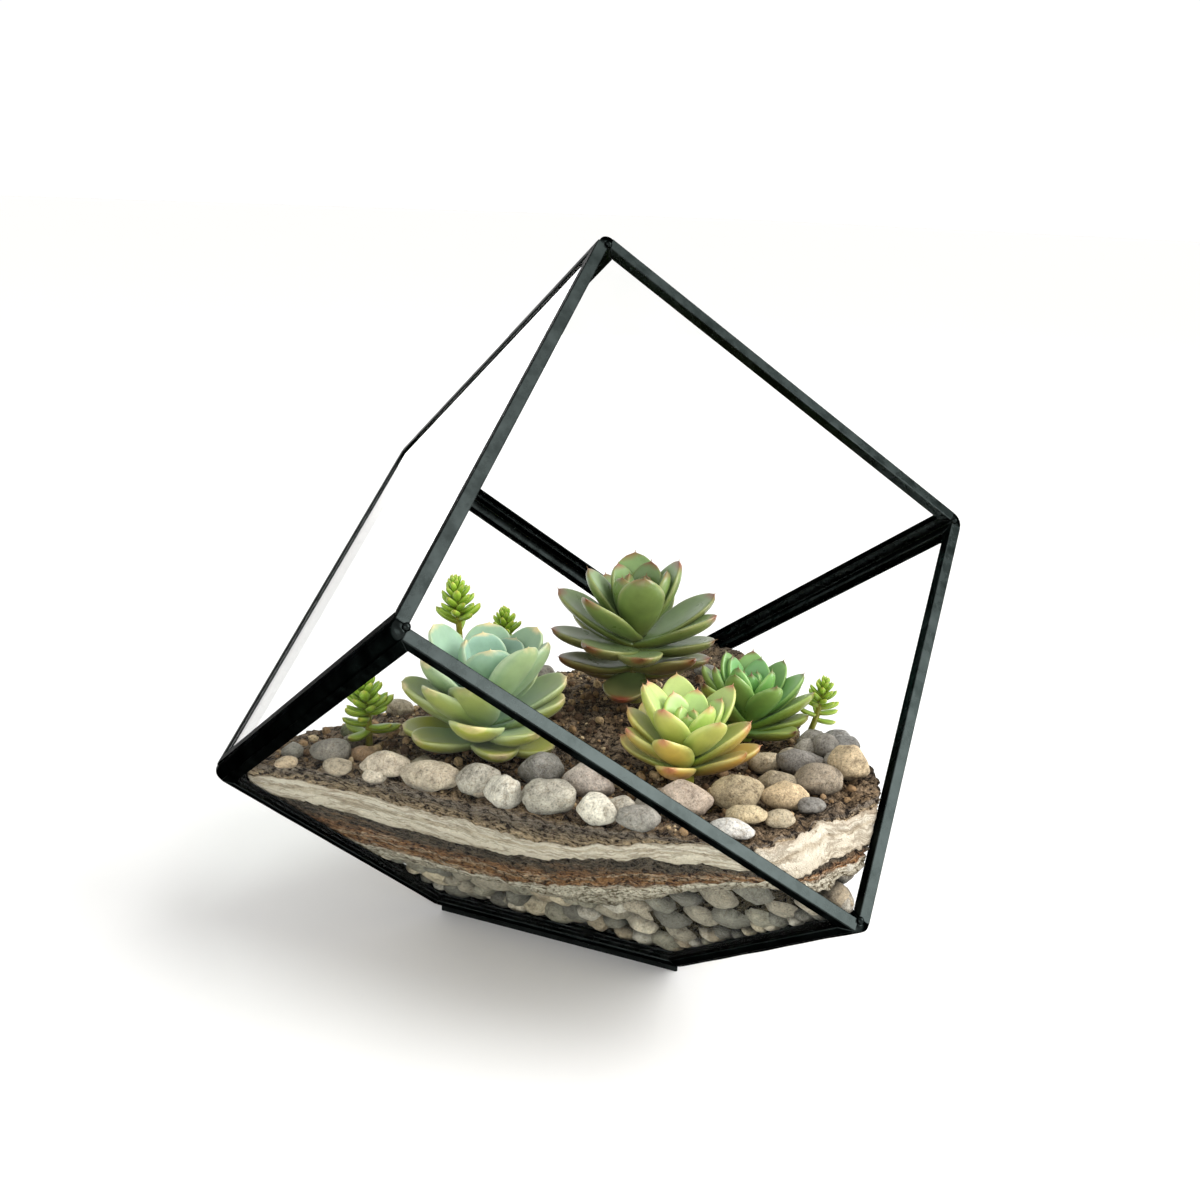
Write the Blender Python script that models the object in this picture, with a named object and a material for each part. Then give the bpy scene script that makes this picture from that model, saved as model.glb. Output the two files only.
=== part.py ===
# Inclined-cube glass terrarium with layered fill, surface pebbles and succulents.
# A cube stands on one cut-off corner, its body diagonal upright, one upper face left open towards -Y.
# Units are metres, +Z is up, and the frame rests on z = 0.

import math
import random

import bmesh
import bpy
from mathutils import Matrix, Vector
from mathutils.bvhtree import BVHTree

# Driving dimensions
EDGE = 0.150  # cube edge, measured on the inner joint lines of the frame
CUT = 0.063  # length cut off each of the three edges at the bottom corner
GLASS = 0.0025  # pane thickness
GLASS_CLEARANCE = 0.00015  # between pane and channel, each side
CAME_WALL = 0.00055  # wall of the U-channel
CAME_LEG = 0.0035  # depth of the U-channel over the pane
FOOT_BAR = 0.0025  # the base strips' lower wall is this much thicker, as a foot
JOINT_INSET = 0.0001  # each framed pane stops this short of the joint line
MITRE_GAP = 0.0001
SEAT_GAP = 0.0003  # between pieces that rest on each other
CLIFF_INSET = 0.0075  # the fill stops this far inside the open face
CORNER_GAP = 0.0075  # the fill stops this far from the left corner
ROSETTE_STUB = 0.0045  # how far a rosette's stem goes into the top layer
SPRIG_STUB = 0.0035
HOLE_CUTTER_LENGTH = 0.020
STEM_FLARE = 1.25  # a plant's hole is this much wider than its stem
GRID_STEP = 0.0140  # cell size of the wavy layer surfaces

CAME_DEPTH = GLASS + 2 * (GLASS_CLEARANCE + CAME_WALL)

# Cube edge directions with the body diagonal along +Z
ALONG_U = Vector((1 / math.sqrt(2), 1 / math.sqrt(6), 1 / math.sqrt(3)))
ALONG_V = Vector((1 / math.sqrt(2), -1 / math.sqrt(6), -1 / math.sqrt(3)))
ALONG_W = Vector((0, 2 / math.sqrt(6), -1 / math.sqrt(3)))

# The panes stand out further behind than in front, so the cube is moved forward by half of that
BACK_SHIFT = CAME_DEPTH * (ALONG_W.y - ALONG_U.y) / 2
BASE_HEIGHT = CAME_DEPTH + FOOT_BAR
CUT_OFF_CORNER = Vector((0, -BACK_SHIFT, BASE_HEIGHT - CUT / math.sqrt(3)))


def cube_point(u, v, w):
    """World position of a point given in cube edges from the left front corner D."""
    return CUT_OFF_CORNER + EDGE * (u * ALONG_U + (v - 1) * ALONG_V + (w - 1) * ALONG_W)


CUT_SHARE = 1 - CUT / EDGE
CORNERS = {
    "A": cube_point(1, 0, 0),
    "B": cube_point(1, 1, 0),
    "C": cube_point(0, 1, 0),
    "D": cube_point(0, 0, 0),
    "E": cube_point(0, 0, 1),
    "H": cube_point(1, 0, 1),
    "I": cube_point(1, 1, 1),
    "F": cube_point(0, CUT_SHARE, 1),
    "G": cube_point(0, 1, CUT_SHARE),
    "K": cube_point(1 - CUT_SHARE, 1, 1),
}

# Each pane: its outward direction and, for each edge, the first corner and what lies across the edge
PANES = {
    "left": (-ALONG_V, (("A", "open"), ("D", "front"), ("E", "back"), ("H", "top"))),
    "front": (-ALONG_U, (("D", "open"), ("C", "right"), ("G", "base"), ("F", "back"), ("E", "left"))),
    "right": (ALONG_V, (("B", "open"), ("C", "front"), ("G", "base"), ("K", "back"), ("I", "top"))),
    "back": (ALONG_W, (("H", "left"), ("E", "front"), ("F", "base"), ("K", "right"), ("I", "top"))),
    "top": (ALONG_U, (("A", "open"), ("B", "right"), ("I", "back"), ("H", "left"))),
    "base": (Vector((0, 0, -1)), (("F", "front"), ("G", "right"), ("K", "back"))),
}

BLACK_METAL = ("black_came", (0.012, 0.013, 0.014), 0.45, 1.0)
CLEAR_GLASS = ("clear_glass", (0.90, 0.95, 0.93), 0.03, 0.0)


# ---- scene and material helpers ----

def clear_scene():
    for obj in list(bpy.data.objects):
        bpy.data.objects.remove(obj, do_unlink=True)


def new_collection(name, hidden=False):
    collection = bpy.data.collections.new(name)
    bpy.context.scene.collection.children.link(collection)
    collection.hide_render = hidden
    return collection


def material(name, colour, roughness, metallic=0.0):
    found = bpy.data.materials.get(name)
    if found:
        return found
    made = bpy.data.materials.new(name)
    made.use_nodes = True
    shader = made.node_tree.nodes["Principled BSDF"]
    shader.inputs["Base Color"].default_value = (*colour, 1)
    shader.inputs["Roughness"].default_value = roughness
    shader.inputs["Metallic"].default_value = metallic
    return made


def add_object(name, bm, finish, collection, smooth=False):
    """A mesh object from bm, with outward normals."""
    bmesh.ops.recalc_face_normals(bm, faces=bm.faces)
    mesh = bpy.data.meshes.new(name)
    bm.to_mesh(mesh)
    bm.free()
    if smooth:
        mesh.shade_smooth()
    if finish:
        mesh.materials.append(material(*finish))
    obj = bpy.data.objects.new(name, mesh)
    collection.objects.link(obj)
    return obj


def add_cutter(name, bm):
    obj = add_object(name, bm, None, cutters)
    obj.hide_render = True
    obj.display_type = "WIRE"
    return obj


def add_boolean(obj, operation, other):
    modifier = obj.modifiers.new(operation.title(), "BOOLEAN")
    modifier.operation = operation
    if isinstance(other, bpy.types.Collection):
        modifier.operand_type = "COLLECTION"
        modifier.collection = other
    else:
        modifier.object = other


def cut_away(bm, point, normal):
    """Removes what lies on the side the normal points to, and closes the cut."""
    geometry = bm.verts[:] + bm.edges[:] + bm.faces[:]
    cut = bmesh.ops.bisect_plane(bm, geom=geometry, plane_co=point, plane_no=normal, clear_outer=True)
    edges = [item for item in cut["geom_cut"] if isinstance(item, bmesh.types.BMEdge)]
    bmesh.ops.contextual_create(bm, geom=edges)


def smooth_step(value):
    value = min(max(value, 0.0), 1.0)
    return value * value * (3 - 2 * value)


# ---- glass and frame ----

def extruded_outline(points, offset):
    """A flat outline pushed along offset into a closed solid."""
    bm = bmesh.new()
    face = bm.faces.new([bm.verts.new(point) for point in points])
    pushed = bmesh.ops.extrude_face_region(bm, geom=[face])["geom"]
    bmesh.ops.translate(bm, verts=[v for v in pushed if isinstance(v, bmesh.types.BMVert)], vec=offset)
    return bm


def inset_outline(points, inset):
    """The outline with every side moved inwards by inset."""
    count = len(points)
    moved = []
    for index, corner in enumerate(points):
        before = (points[index - 1] - corner).normalized()
        after = (points[(index + 1) % count] - corner).normalized()
        half_angle = before.angle(after) / 2
        moved.append(corner + (before + after).normalized() * inset / math.sin(half_angle))
    return moved


def glass_pane(side):
    outward, edges = PANES[side]
    points = [CORNERS[letter] for letter, _ in edges]
    outline = inset_outline(points, JOINT_INSET + CAME_WALL + GLASS_CLEARANCE)
    start = outward * (CAME_WALL + GLASS_CLEARANCE)
    bm = extruded_outline([point + start for point in outline], outward * GLASS)
    add_object(side + "_pane", bm, CLEAR_GLASS, terrarium)


def came_strip(side, index):
    """One U-channel strip along one edge of a pane, mitred at both ends."""
    outward, edges = PANES[side]
    points = [CORNERS[letter] for letter, _ in edges]
    centre = sum(points, Vector()) / len(points)
    count = len(points)
    start, end = points[index], points[(index + 1) % count]
    along = (end - start).normalized()
    inward = (centre - start) - along * (centre - start).dot(along)
    inward.normalize()
    far_wall = CAME_DEPTH - CAME_WALL
    outside = BASE_HEIGHT if side == "base" else CAME_DEPTH
    profile = (
        (0, 0), (CAME_LEG, 0), (CAME_LEG, CAME_WALL), (CAME_WALL, CAME_WALL),
        (CAME_WALL, far_wall), (CAME_LEG, far_wall), (CAME_LEG, outside), (0, outside),
    )
    spare = 3 * CAME_LEG
    first = start - along * spare + inward * JOINT_INSET
    section = [first + inward * depth + outward * height for depth, height in profile]
    bm = extruded_outline(section, along * ((end - start).length + 2 * spare))
    for corner, neighbour, away in (
        (start, points[index - 1], -along),
        (end, points[(index + 2) % count], along),
    ):
        bisector = ((neighbour - corner).normalized() - away).normalized()
        normal = bisector.cross(outward)
        if normal.dot(away) < 0:
            normal.negate()
        cut_away(bm, corner - normal * MITRE_GAP / 2, normal)
    add_object(f"{side}_came_{edges[index][1]}", bm, BLACK_METAL, terrarium)


# ---- fill ----

# Height of each boundary above the resting surface: level, rise towards the front corner, where it starts
# and how long it takes, fall at the back, wave height and wave length along Y, and the wave's crest.
BOUNDARIES = {
    "pebble_top": (0.0240, 0.0400, -0.020, 0.100, 0.000, 0.0012, 0.070, -0.020),
    "lower_sand_top": (0.0305, 0.0370, -0.015, 0.105, 0.000, 0.0014, 0.080, 0.030),
    "soil_top": (0.0480, 0.0225, -0.025, 0.085, 0.001, 0.0020, 0.090, 0.022),
    "upper_sand_top": (0.0605, 0.0145, -0.040, 0.060, 0.004, 0.0020, 0.110, 0.005),
    "ground": (0.0725, 0.0055, -0.050, 0.045, 0.012, 0.0000, 0.100, 0.000),
}
BACK_FALL_START = 0.005
BACK_FALL_LENGTH = 0.075
RIGHT_HEAP = 0.0025  # extra height of the ground at the right front


def boundary_height(name, x, y):
    level, rise, rise_start, rise_length, fall, wave, wave_length, crest = BOUNDARIES[name]
    height = level
    height += rise * smooth_step((rise_start - y) / rise_length)
    height -= fall * smooth_step((y - BACK_FALL_START) / BACK_FALL_LENGTH)
    height += wave * math.cos(2 * math.pi * (y - crest + 0.25 * x) / wave_length)
    if name == "ground":
        height += RIGHT_HEAP * smooth_step((x - 0.010) / 0.030) * smooth_step((-0.045 - y) / 0.035)
    return height


def fill_space():
    """The space the fill may take: the cube's inside, cut at the base, open face and left corner."""
    bm = bmesh.new()
    bmesh.ops.create_cube(bm, size=EDGE - 2 * SEAT_GAP)
    rotation = Matrix((ALONG_U, ALONG_V, ALONG_W)).transposed().to_4x4()
    centre = cube_point(0.5, 0.5, 0.5)
    bmesh.ops.transform(bm, matrix=Matrix.Translation(centre) @ rotation, verts=bm.verts)
    cut_away(bm, Vector((0, 0, BASE_HEIGHT + SEAT_GAP)), Vector((0, 0, -1)))
    cut_away(bm, CORNERS["C"] + ALONG_W * CLIFF_INSET, -ALONG_W)
    corner_out = Vector((CORNERS["E"].x, CORNERS["E"].y, 0)).normalized()
    cut_away(bm, CORNERS["E"] - corner_out * CORNER_GAP, corner_out)
    return add_cutter("fill_space", bm)


def fill_layer(name, lower, upper, colour, roughness, space):
    """A wavy slab between two boundaries, cut to the space inside the glass."""
    bm = bmesh.new()
    half = 0.125
    cells = math.ceil(2 * half / GRID_STEP)
    bmesh.ops.create_grid(bm, x_segments=cells, y_segments=cells, size=half)
    pushed = bmesh.ops.extrude_face_region(bm, geom=bm.faces[:])["geom"]
    top = {v for v in pushed if isinstance(v, bmesh.types.BMVert)}
    for vert in bm.verts:
        if vert in top:
            vert.co.z = boundary_height(upper, vert.co.x, vert.co.y) - SEAT_GAP / 2
        elif lower:
            vert.co.z = boundary_height(lower, vert.co.x, vert.co.y) + SEAT_GAP / 2
        else:
            vert.co.z = 0
    layer = add_object(name, bm, (name + "_fill", colour, roughness), terrarium)
    add_boolean(layer, "INTERSECT", space)
    return layer


# ---- plants ----

def leaf_half_width(t, base_share, widest, tip_power):
    """Half width of a leaf at t of its length, as a share of its widest."""
    if t < widest:
        return base_share + (1 - base_share) * math.sin(math.pi / 2 * t / widest)
    return max(0.0, 1 - ((t - widest) / (1 - widest)) ** 2) ** tip_power


def leaf_mesh(leaf, segments, rings):
    """A closed leaf from a ball, its poles at the leaf's base and tip, along +X with its face up."""
    bm = bmesh.new()
    bmesh.ops.create_uvsphere(bm, u_segments=segments, v_segments=rings, radius=1)
    for vert in bm.verts:
        t = (vert.co.z + 1) / 2
        around = math.atan2(vert.co.y, vert.co.x)
        ring = 0 if abs(vert.co.z) > 0.9999 else 1
        outline = leaf_half_width(t, leaf["base"], leaf["widest"], leaf["tip"])
        half_width = ring * leaf["width"] / 2 * outline
        thick = leaf["thickness"] * (1 - t ** 4) ** 0.5 * ring
        side = half_width * math.cos(around)
        upper = 0.35 if math.sin(around) > 0 else 0.65
        lift = thick * upper * math.sin(around)
        if half_width > 0:
            lift += leaf["cup"] * side * side / leaf["width"]
        # the leaf bends upwards along an arc
        angle = leaf["curl"] * (t - 0.5)
        reach = leaf["length"] * math.sin(leaf["curl"] * t / 2) / (leaf["curl"] / 2)
        bend = leaf["curl"] * (t - 1) / 2
        vert.co = Vector((
            reach * math.cos(bend) - lift * math.sin(angle),
            side,
            reach * math.sin(bend) + lift * math.cos(angle),
        ))
    return bm


def stem_mesh(bottom, top, bottom_radius, top_radius, segments):
    """A round tapered stem between two points."""
    axis = top - bottom
    bm = bmesh.new()
    bmesh.ops.create_cone(
        bm, cap_ends=True, segments=segments, radius1=bottom_radius, radius2=top_radius, depth=axis.length
    )
    turn = axis.to_track_quat("Z", "Y").to_matrix().to_4x4()
    bmesh.ops.transform(bm, matrix=Matrix.Translation((bottom + top) / 2) @ turn, verts=bm.verts)
    return bm


def stem_ends(plan):
    """The foot of a plant's stem, down in the top layer, and its upper end."""
    x, y = plan["at"]
    lean_x, lean_y = plan["lean"]
    ground = boundary_height("ground", x, y)
    return Vector((x, y, ground - plan["stub"])), Vector((x + lean_x, y + lean_y, ground + plan["height"]))


def joined_plant(name, body, pieces, finish):
    """One closed plant: the body with every leaf joined to it."""
    leaves = bpy.data.collections.new(name + "_leaves")
    cutters.children.link(leaves)
    for index, bm in enumerate(pieces):
        leaf = add_object(f"{name}_leaf_{index + 1}", bm, None, leaves)
        leaf.hide_render = True
        leaf.display_type = "WIRE"
    plant = add_object(name, body, finish, terrarium)
    add_boolean(plant, "UNION", leaves)
    return plant


GOLDEN_ANGLE = math.radians(137.508)
VIEWER_TURN = -129  # degrees; a leaf with a turn of 0 points this way, out over the open side's left edge

# Each whorl: its height above the ground, leaf length and leaf width in millimetres, then every leaf's
# turn and rise in degrees. The whorls run from the middle of the rosette to its outside.
ROSETTES = {
    "dark_rosette": {
        "at": (0.0235, 0.0050), "stub": ROSETTE_STUB, "lean": (0, 0), "height": 0.0300,
        "thickness": 0.0046, "stem": 0.0036, "tip": 0.62, "colour": (0.18, 0.24, 0.11),
        "whorls": (
            (27, 19, 10, ((20, 80), (140, 78), (260, 80))),
            (27, 24, 13, ((78, 66), (150, 70), (225, 64), (322, 66))),
            (25, 30, 17, ((5, 56), (110, 60), (185, 59), (258, 50), (315, 36))),
            (22, 33, 15.5, ((76, 26), (102, 32), (160, 30), (205, 32), (256, 30))),
            (19.5, 31, 15.5, ((3, 14), (72, 14), (130, 14), (228, 15), (277, 14), (325, 16))),
            (14, 28, 14, ((45, 20), (85, 9), (165, 8), (210, 8), (290, 10))),
            (11, 21, 15, ((345, -8), (120, 2), (250, 0))),
        ),
    },
    "blue_rosette": {
        "at": (-0.0425, 0.0005), "stub": ROSETTE_STUB, "lean": (0, 0), "height": 0.0200,
        "thickness": 0.0052, "stem": 0.0040, "tip": 0.48, "colour": (0.36, 0.50, 0.40),
        "whorls": (
            (17, 13, 10, ((90, 78), (200, 80), (320, 80))),
            (16, 22, 15.5, ((14, 66), (140, 54), (200, 78), (262, 72))),
            (13, 31, 18, ((50, 54), (85, 50), (128, 52), (183, 50), (255, 56), (300, 44))),
            (9, 30, 17, ((98, 30), (150, 32), (215, 32), (283, 30), (318, 37), (350, 42))),
            (7, 29, 17, ((40, 16), (78, 26), (170, 12), (235, 12), (357, 24))),
            (4, 26, 16, ((18, 9), (58, 5), (135, 5), (270, 6), (311, 11))),
        ),
    },
    "lime_rosette": {
        "at": (-0.0070, -0.0565), "stub": ROSETTE_STUB, "lean": (0, 0), "height": 0.0150,
        "thickness": 0.0040, "stem": 0.0032, "tip": 0.66, "colour": (0.42, 0.55, 0.14),
        "whorls": (
            (12, 12, 7, ((0, 84), (120, 80), (240, 80))),
            (11, 19, 10.5, ((45, 63), (110, 56), (160, 60), (215, 66))),
            (9.5, 26, 12.5, ((25, 43), (125, 48), (190, 50), (240, 55), (275, 59), (327, 54))),
            (7, 25, 12.5, ((75, 40), (105, 30), (165, 28), (215, 30), (262, 42), (292, 33), (337, 38))),
            (4.5, 24.5, 12, ((52, 29), (88, 22), (130, 16), (190, 14), (240, 14), (345, 24))),
        ),
    },
    "green_rosette": {
        "at": (0.0340, -0.0420), "stub": ROSETTE_STUB, "lean": (0, 0), "height": 0.0120,
        "thickness": 0.0038, "stem": 0.0030, "tip": 0.70, "colour": (0.22, 0.42, 0.12),
        "whorls": (
            (9, 15, 7.5, ((0, 82), (120, 80), (240, 80))),
            (8, 20, 10, ((315, 70), (60, 68), (150, 66), (230, 68))),
            (6.5, 24, 11.5, ((25, 48), (95, 43), (130, 50), (172, 60), (230, 64), (275, 58), (330, 58))),
            (4.5, 25, 11.5, ((75, 35), (115, 36), (165, 34), (210, 34), (258, 50), (300, 44))),
            (2.5, 24, 11, ((35, 20), (65, 25), (140, 16), (200, 16), (265, 32))),
        ),
    },
}

HEART_WIDTH = 1.9  # half width of a rosette's solid middle, in stem radii
HEART_SPARE = 0.0045  # it reaches this far above its highest whorl and below its lowest
ROSETTE_LEAF = {"base": 0.45, "widest": 0.62, "cup": 0.5, "curl": math.radians(24)}


def heart_mesh(plan, ground):
    """The solid middle of a rosette, where the leaf bases close up."""
    highest = plan["whorls"][0][0] / 1000
    lowest = plan["whorls"][-1][0] / 1000
    bm = bmesh.new()
    bmesh.ops.create_uvsphere(bm, u_segments=8, v_segments=6, radius=1)
    wide = plan["stem"] * HEART_WIDTH
    tall = (highest - lowest) / 2 + HEART_SPARE
    centre = (*plan["at"], ground + (highest + lowest) / 2)
    place = Matrix.Translation(centre) @ Matrix.Diagonal((wide, wide, tall, 1))
    bmesh.ops.transform(bm, matrix=place, verts=bm.verts)
    return bm


def rosette(name):
    """A rosette of leaves in whorls, upright in the middle and spreading outside."""
    plan = ROSETTES[name]
    x, y = plan["at"]
    ground = boundary_height("ground", x, y)
    foot, crown = stem_ends(plan)
    body = stem_mesh(foot, crown, plan["stem"], plan["stem"] * 0.7, 8)
    pieces = [heart_mesh(plan, ground)]
    for height, length, width, leaves in plan["whorls"]:
        leaf = {
            **ROSETTE_LEAF, "length": length / 1000, "width": width / 1000,
            "thickness": plan["thickness"], "tip": plan["tip"],
        }
        for turn, rise in leaves:
            bm = leaf_mesh(leaf, 6, 6)
            spin = Matrix.Rotation(math.radians(VIEWER_TURN + turn), 4, "Z")
            tilt = Matrix.Rotation(-math.radians(rise), 4, "Y")
            place = Matrix.Translation((x, y, ground + height / 1000)) @ spin @ tilt
            bmesh.ops.transform(bm, matrix=place, verts=bm.verts)
            pieces.append(bm)
    return joined_plant(name, body, pieces, (name + "_leaf", plan["colour"], 0.5))


SPRIGS = {
    "tall_sprig": {
        "turn": 10, "at": (-0.0280, 0.0390), "height": 0.049, "lean": (-0.003, -0.001), "leaves": 20,
        "stub": SPRIG_STUB, "length": 0.0098, "stem": 0.0011, "spread": 0.62, "colour": (0.30, 0.45, 0.06),
    },
    "small_sprig": {
        "turn": 70, "at": (-0.0110, 0.0350), "height": 0.034, "lean": (-0.001, 0.001), "leaves": 15,
        "stub": SPRIG_STUB, "length": 0.0080, "stem": 0.0010, "spread": 0.62, "colour": (0.12, 0.24, 0.08),
    },
    "left_sprig": {
        "turn": 200, "at": (-0.0705, 0.0270), "height": 0.0245, "lean": (-0.002, 0.001), "leaves": 16,
        "stub": SPRIG_STUB, "length": 0.0075, "stem": 0.0010, "spread": 0.62, "colour": (0.40, 0.42, 0.08),
    },
    "right_sprig": {
        "turn": 320, "at": (0.0498, -0.0545), "height": 0.020, "lean": (0.0035, -0.0030), "leaves": 13,
        "stub": SPRIG_STUB, "length": 0.0062, "stem": 0.0010, "spread": 0.42, "colour": (0.33, 0.48, 0.08),
    },
}

SPRIG_TOP = 0.975  # the first leaf's place along the stem
SPRIG_LEAF = {"base": 0.5, "widest": 0.55, "tip": 0.6, "cup": 0.15, "curl": math.radians(22)}
SPRIG_LEAF_WIDTH = 0.38  # of a leaf's length
SPRIG_LEAF_THICKNESS = 0.26


def sprig(name):
    """An upright stonecrop stem with small thick leaves, crowded at its top."""
    plan = SPRIGS[name]
    foot, tip = stem_ends(plan)
    body = stem_mesh(foot, tip, plan["stem"] * 1.15, plan["stem"], 7)
    pieces = []
    for index in range(plan["leaves"]):
        share = index / (plan["leaves"] - 1)
        along = SPRIG_TOP - plan["spread"] * share ** 1.5
        length = plan["length"] * (0.75 + 0.35 * min(1, 2.2 * share))
        leaf = {
            **SPRIG_LEAF, "length": length, "width": SPRIG_LEAF_WIDTH * length,
            "thickness": SPRIG_LEAF_THICKNESS * length,
        }
        bm = leaf_mesh(leaf, 6, 4)
        rise = math.radians(72 - 62 * share ** 0.6)
        turn = index * GOLDEN_ANGLE + math.radians(plan["turn"])
        base = foot + (tip - foot) * along
        place = Matrix.Translation(base) @ Matrix.Rotation(turn, 4, "Z") @ Matrix.Rotation(-rise, 4, "Y")
        bmesh.ops.transform(bm, matrix=place, verts=bm.verts)
        pieces.append(bm)
    return joined_plant(name, body, pieces, (name + "_leaf", plan["colour"], 0.5))


def plant_hole(plan):
    """The hole in the top layer that a plant's stem stands in."""
    foot, tip = stem_ends(plan)
    along = (tip - foot).normalized()
    bottom = foot - along * SEAT_GAP
    radius = plan["stem"] * STEM_FLARE + SEAT_GAP
    return stem_mesh(bottom, bottom + along * HOLE_CUTTER_LENGTH, radius, radius, 10)


# ---- surface pebbles ----

# Each pebble: place, length, depth, height in millimetres, turn in degrees, colour
PEBBLES = (
    (-86.5, 21.0, 12.5, 9.0, 7.0, -30, (0.30, 0.30, 0.30)),
    (-79.5, -1.5, 15.5, 9.0, 7.2, -42, (0.52, 0.47, 0.40)),
    (-73.0, -15.5, 18.0, 9.5, 8.4, -44, (0.55, 0.51, 0.45)),
    (-62.0, -27.0, 13.5, 9.0, 8.6, -32, (0.45, 0.45, 0.43)),
    (-61.0, -37.5, 11.0, 9.0, 8.8, -40, (0.70, 0.67, 0.60)),
    (-43.5, -31.5, 13.5, 10.0, 9.0, -45, (0.36, 0.36, 0.37)),
    (-52.0, -49.5, 16.0, 10.5, 9.5, -40, (0.46, 0.46, 0.46)),
    (-36.0, -46.0, 16.0, 10.0, 9.0, -55, (0.66, 0.58, 0.52)),
    (-46.0, -63.0, 11.0, 9.5, 8.0, -38, (0.78, 0.75, 0.66)),
    (-25.5, -77.5, 14.5, 10.5, 10.0, -46, (0.58, 0.53, 0.47)),
    (-12.0, -85.0, 15.0, 10.0, 9.5, -38, (0.55, 0.49, 0.36)),
    (-0.5, -92.5, 13.0, 8.0, 7.5, -36, (0.60, 0.52, 0.40)),
    (14.0, -92.0, 14.5, 9.0, 8.5, -30, (0.42, 0.38, 0.31)),
    (27.5, -91.5, 12.5, 9.5, 10.0, -60, (0.56, 0.50, 0.40)),
    (20.5, -78.5, 14.0, 8.5, 7.5, -48, (0.36, 0.34, 0.33)),
)


def surface_pebble(number, plan, ground_tree):
    """A worn stone, lowered until it rests on the top layer."""
    x, y, length, depth, height, turn, colour = plan
    chance = random.Random(40 + number)
    bm = bmesh.new()
    bmesh.ops.create_icosphere(bm, subdivisions=2, radius=0.5)
    for vert in bm.verts:
        swell = 1 + 0.05 * math.sin(3 * vert.co.x + 5 * vert.co.y + chance.uniform(0, 0.6))
        vert.co = vert.co.normalized() * 0.5 * swell
    scale = Matrix.Diagonal((length / 1000, depth / 1000, height / 1000, 1))
    spin = Matrix.Rotation(math.radians(turn), 4, "Z")
    above = Matrix.Translation((x / 1000, y / 1000, 0.12))
    bmesh.ops.transform(bm, matrix=above @ spin @ scale, verts=bm.verts)
    below = [ground_tree.ray_cast(vert.co, (0, 0, -1))[3] for vert in bm.verts]
    drop = min(distance for distance in below if distance is not None)
    bmesh.ops.translate(bm, verts=bm.verts, vec=(0, 0, SEAT_GAP - drop))
    name = f"surface_pebble_{number:02d}"
    add_object(name, bm, (name + "_stone", colour, 0.7), terrarium, smooth=True)


clear_scene()
terrarium = new_collection("glass_plant_terrarium")
cutters = new_collection("cutters", hidden=True)

for pane in PANES:
    glass_pane(pane)
    for edge in range(len(PANES[pane][1])):
        came_strip(pane, edge)

space = fill_space()
fill_layer("drainage_pebble_bed", None, "pebble_top", (0.42, 0.40, 0.36), 0.8, space)
fill_layer("lower_sand_layer", "pebble_top", "lower_sand_top", (0.72, 0.66, 0.55), 0.9, space)
fill_layer("soil_layer", "lower_sand_top", "soil_top", (0.26, 0.20, 0.16), 0.95, space)
fill_layer("upper_sand_layer", "soil_top", "upper_sand_top", (0.76, 0.72, 0.64), 0.9, space)
top_layer = fill_layer("top_grit_layer", "upper_sand_top", "ground", (0.16, 0.14, 0.12), 0.95, space)

holes = bpy.data.collections.new("plant_holes")
cutters.children.link(holes)
for plant_name, plant_plan in {**ROSETTES, **SPRIGS}.items():
    hole = add_object(plant_name + "_hole", plant_hole(plant_plan), None, holes)
    hole.hide_render = True
    hole.display_type = "WIRE"
add_boolean(top_layer, "DIFFERENCE", holes)

for plant_name in ROSETTES:
    rosette(plant_name)
for plant_name in SPRIGS:
    sprig(plant_name)

bpy.context.view_layer.update()
tree = BVHTree.FromObject(top_layer, bpy.context.evaluated_depsgraph_get())
for pebble_index, pebble_plan in enumerate(PEBBLES):
    surface_pebble(pebble_index + 1, pebble_plan, tree)
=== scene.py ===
# Looks for the inclined-cube glass terrarium: glass, black came, layered fill, stones and succulents.
# Units are metres and +Z is up. Names that end in Mm hold millimetres.
import math
import random

import bmesh
import bpy
import numpy as np
from mathutils import Matrix, Vector


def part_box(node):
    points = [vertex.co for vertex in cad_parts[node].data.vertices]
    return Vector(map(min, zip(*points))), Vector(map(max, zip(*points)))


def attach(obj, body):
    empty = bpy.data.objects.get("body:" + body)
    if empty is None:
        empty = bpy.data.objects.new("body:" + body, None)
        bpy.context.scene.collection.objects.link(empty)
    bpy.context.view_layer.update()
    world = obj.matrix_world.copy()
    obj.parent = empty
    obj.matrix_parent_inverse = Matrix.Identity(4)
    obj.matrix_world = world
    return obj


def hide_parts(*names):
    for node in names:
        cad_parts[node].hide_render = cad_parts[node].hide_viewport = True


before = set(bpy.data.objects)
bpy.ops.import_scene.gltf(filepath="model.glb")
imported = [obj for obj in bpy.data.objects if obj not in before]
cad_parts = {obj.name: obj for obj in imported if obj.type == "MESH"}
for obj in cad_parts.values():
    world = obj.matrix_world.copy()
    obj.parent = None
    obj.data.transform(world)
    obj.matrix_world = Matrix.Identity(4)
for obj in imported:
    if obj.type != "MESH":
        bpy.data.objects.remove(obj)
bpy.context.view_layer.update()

mm = 0.001
print("frame loaded:", len(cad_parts), "nodes")


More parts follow.
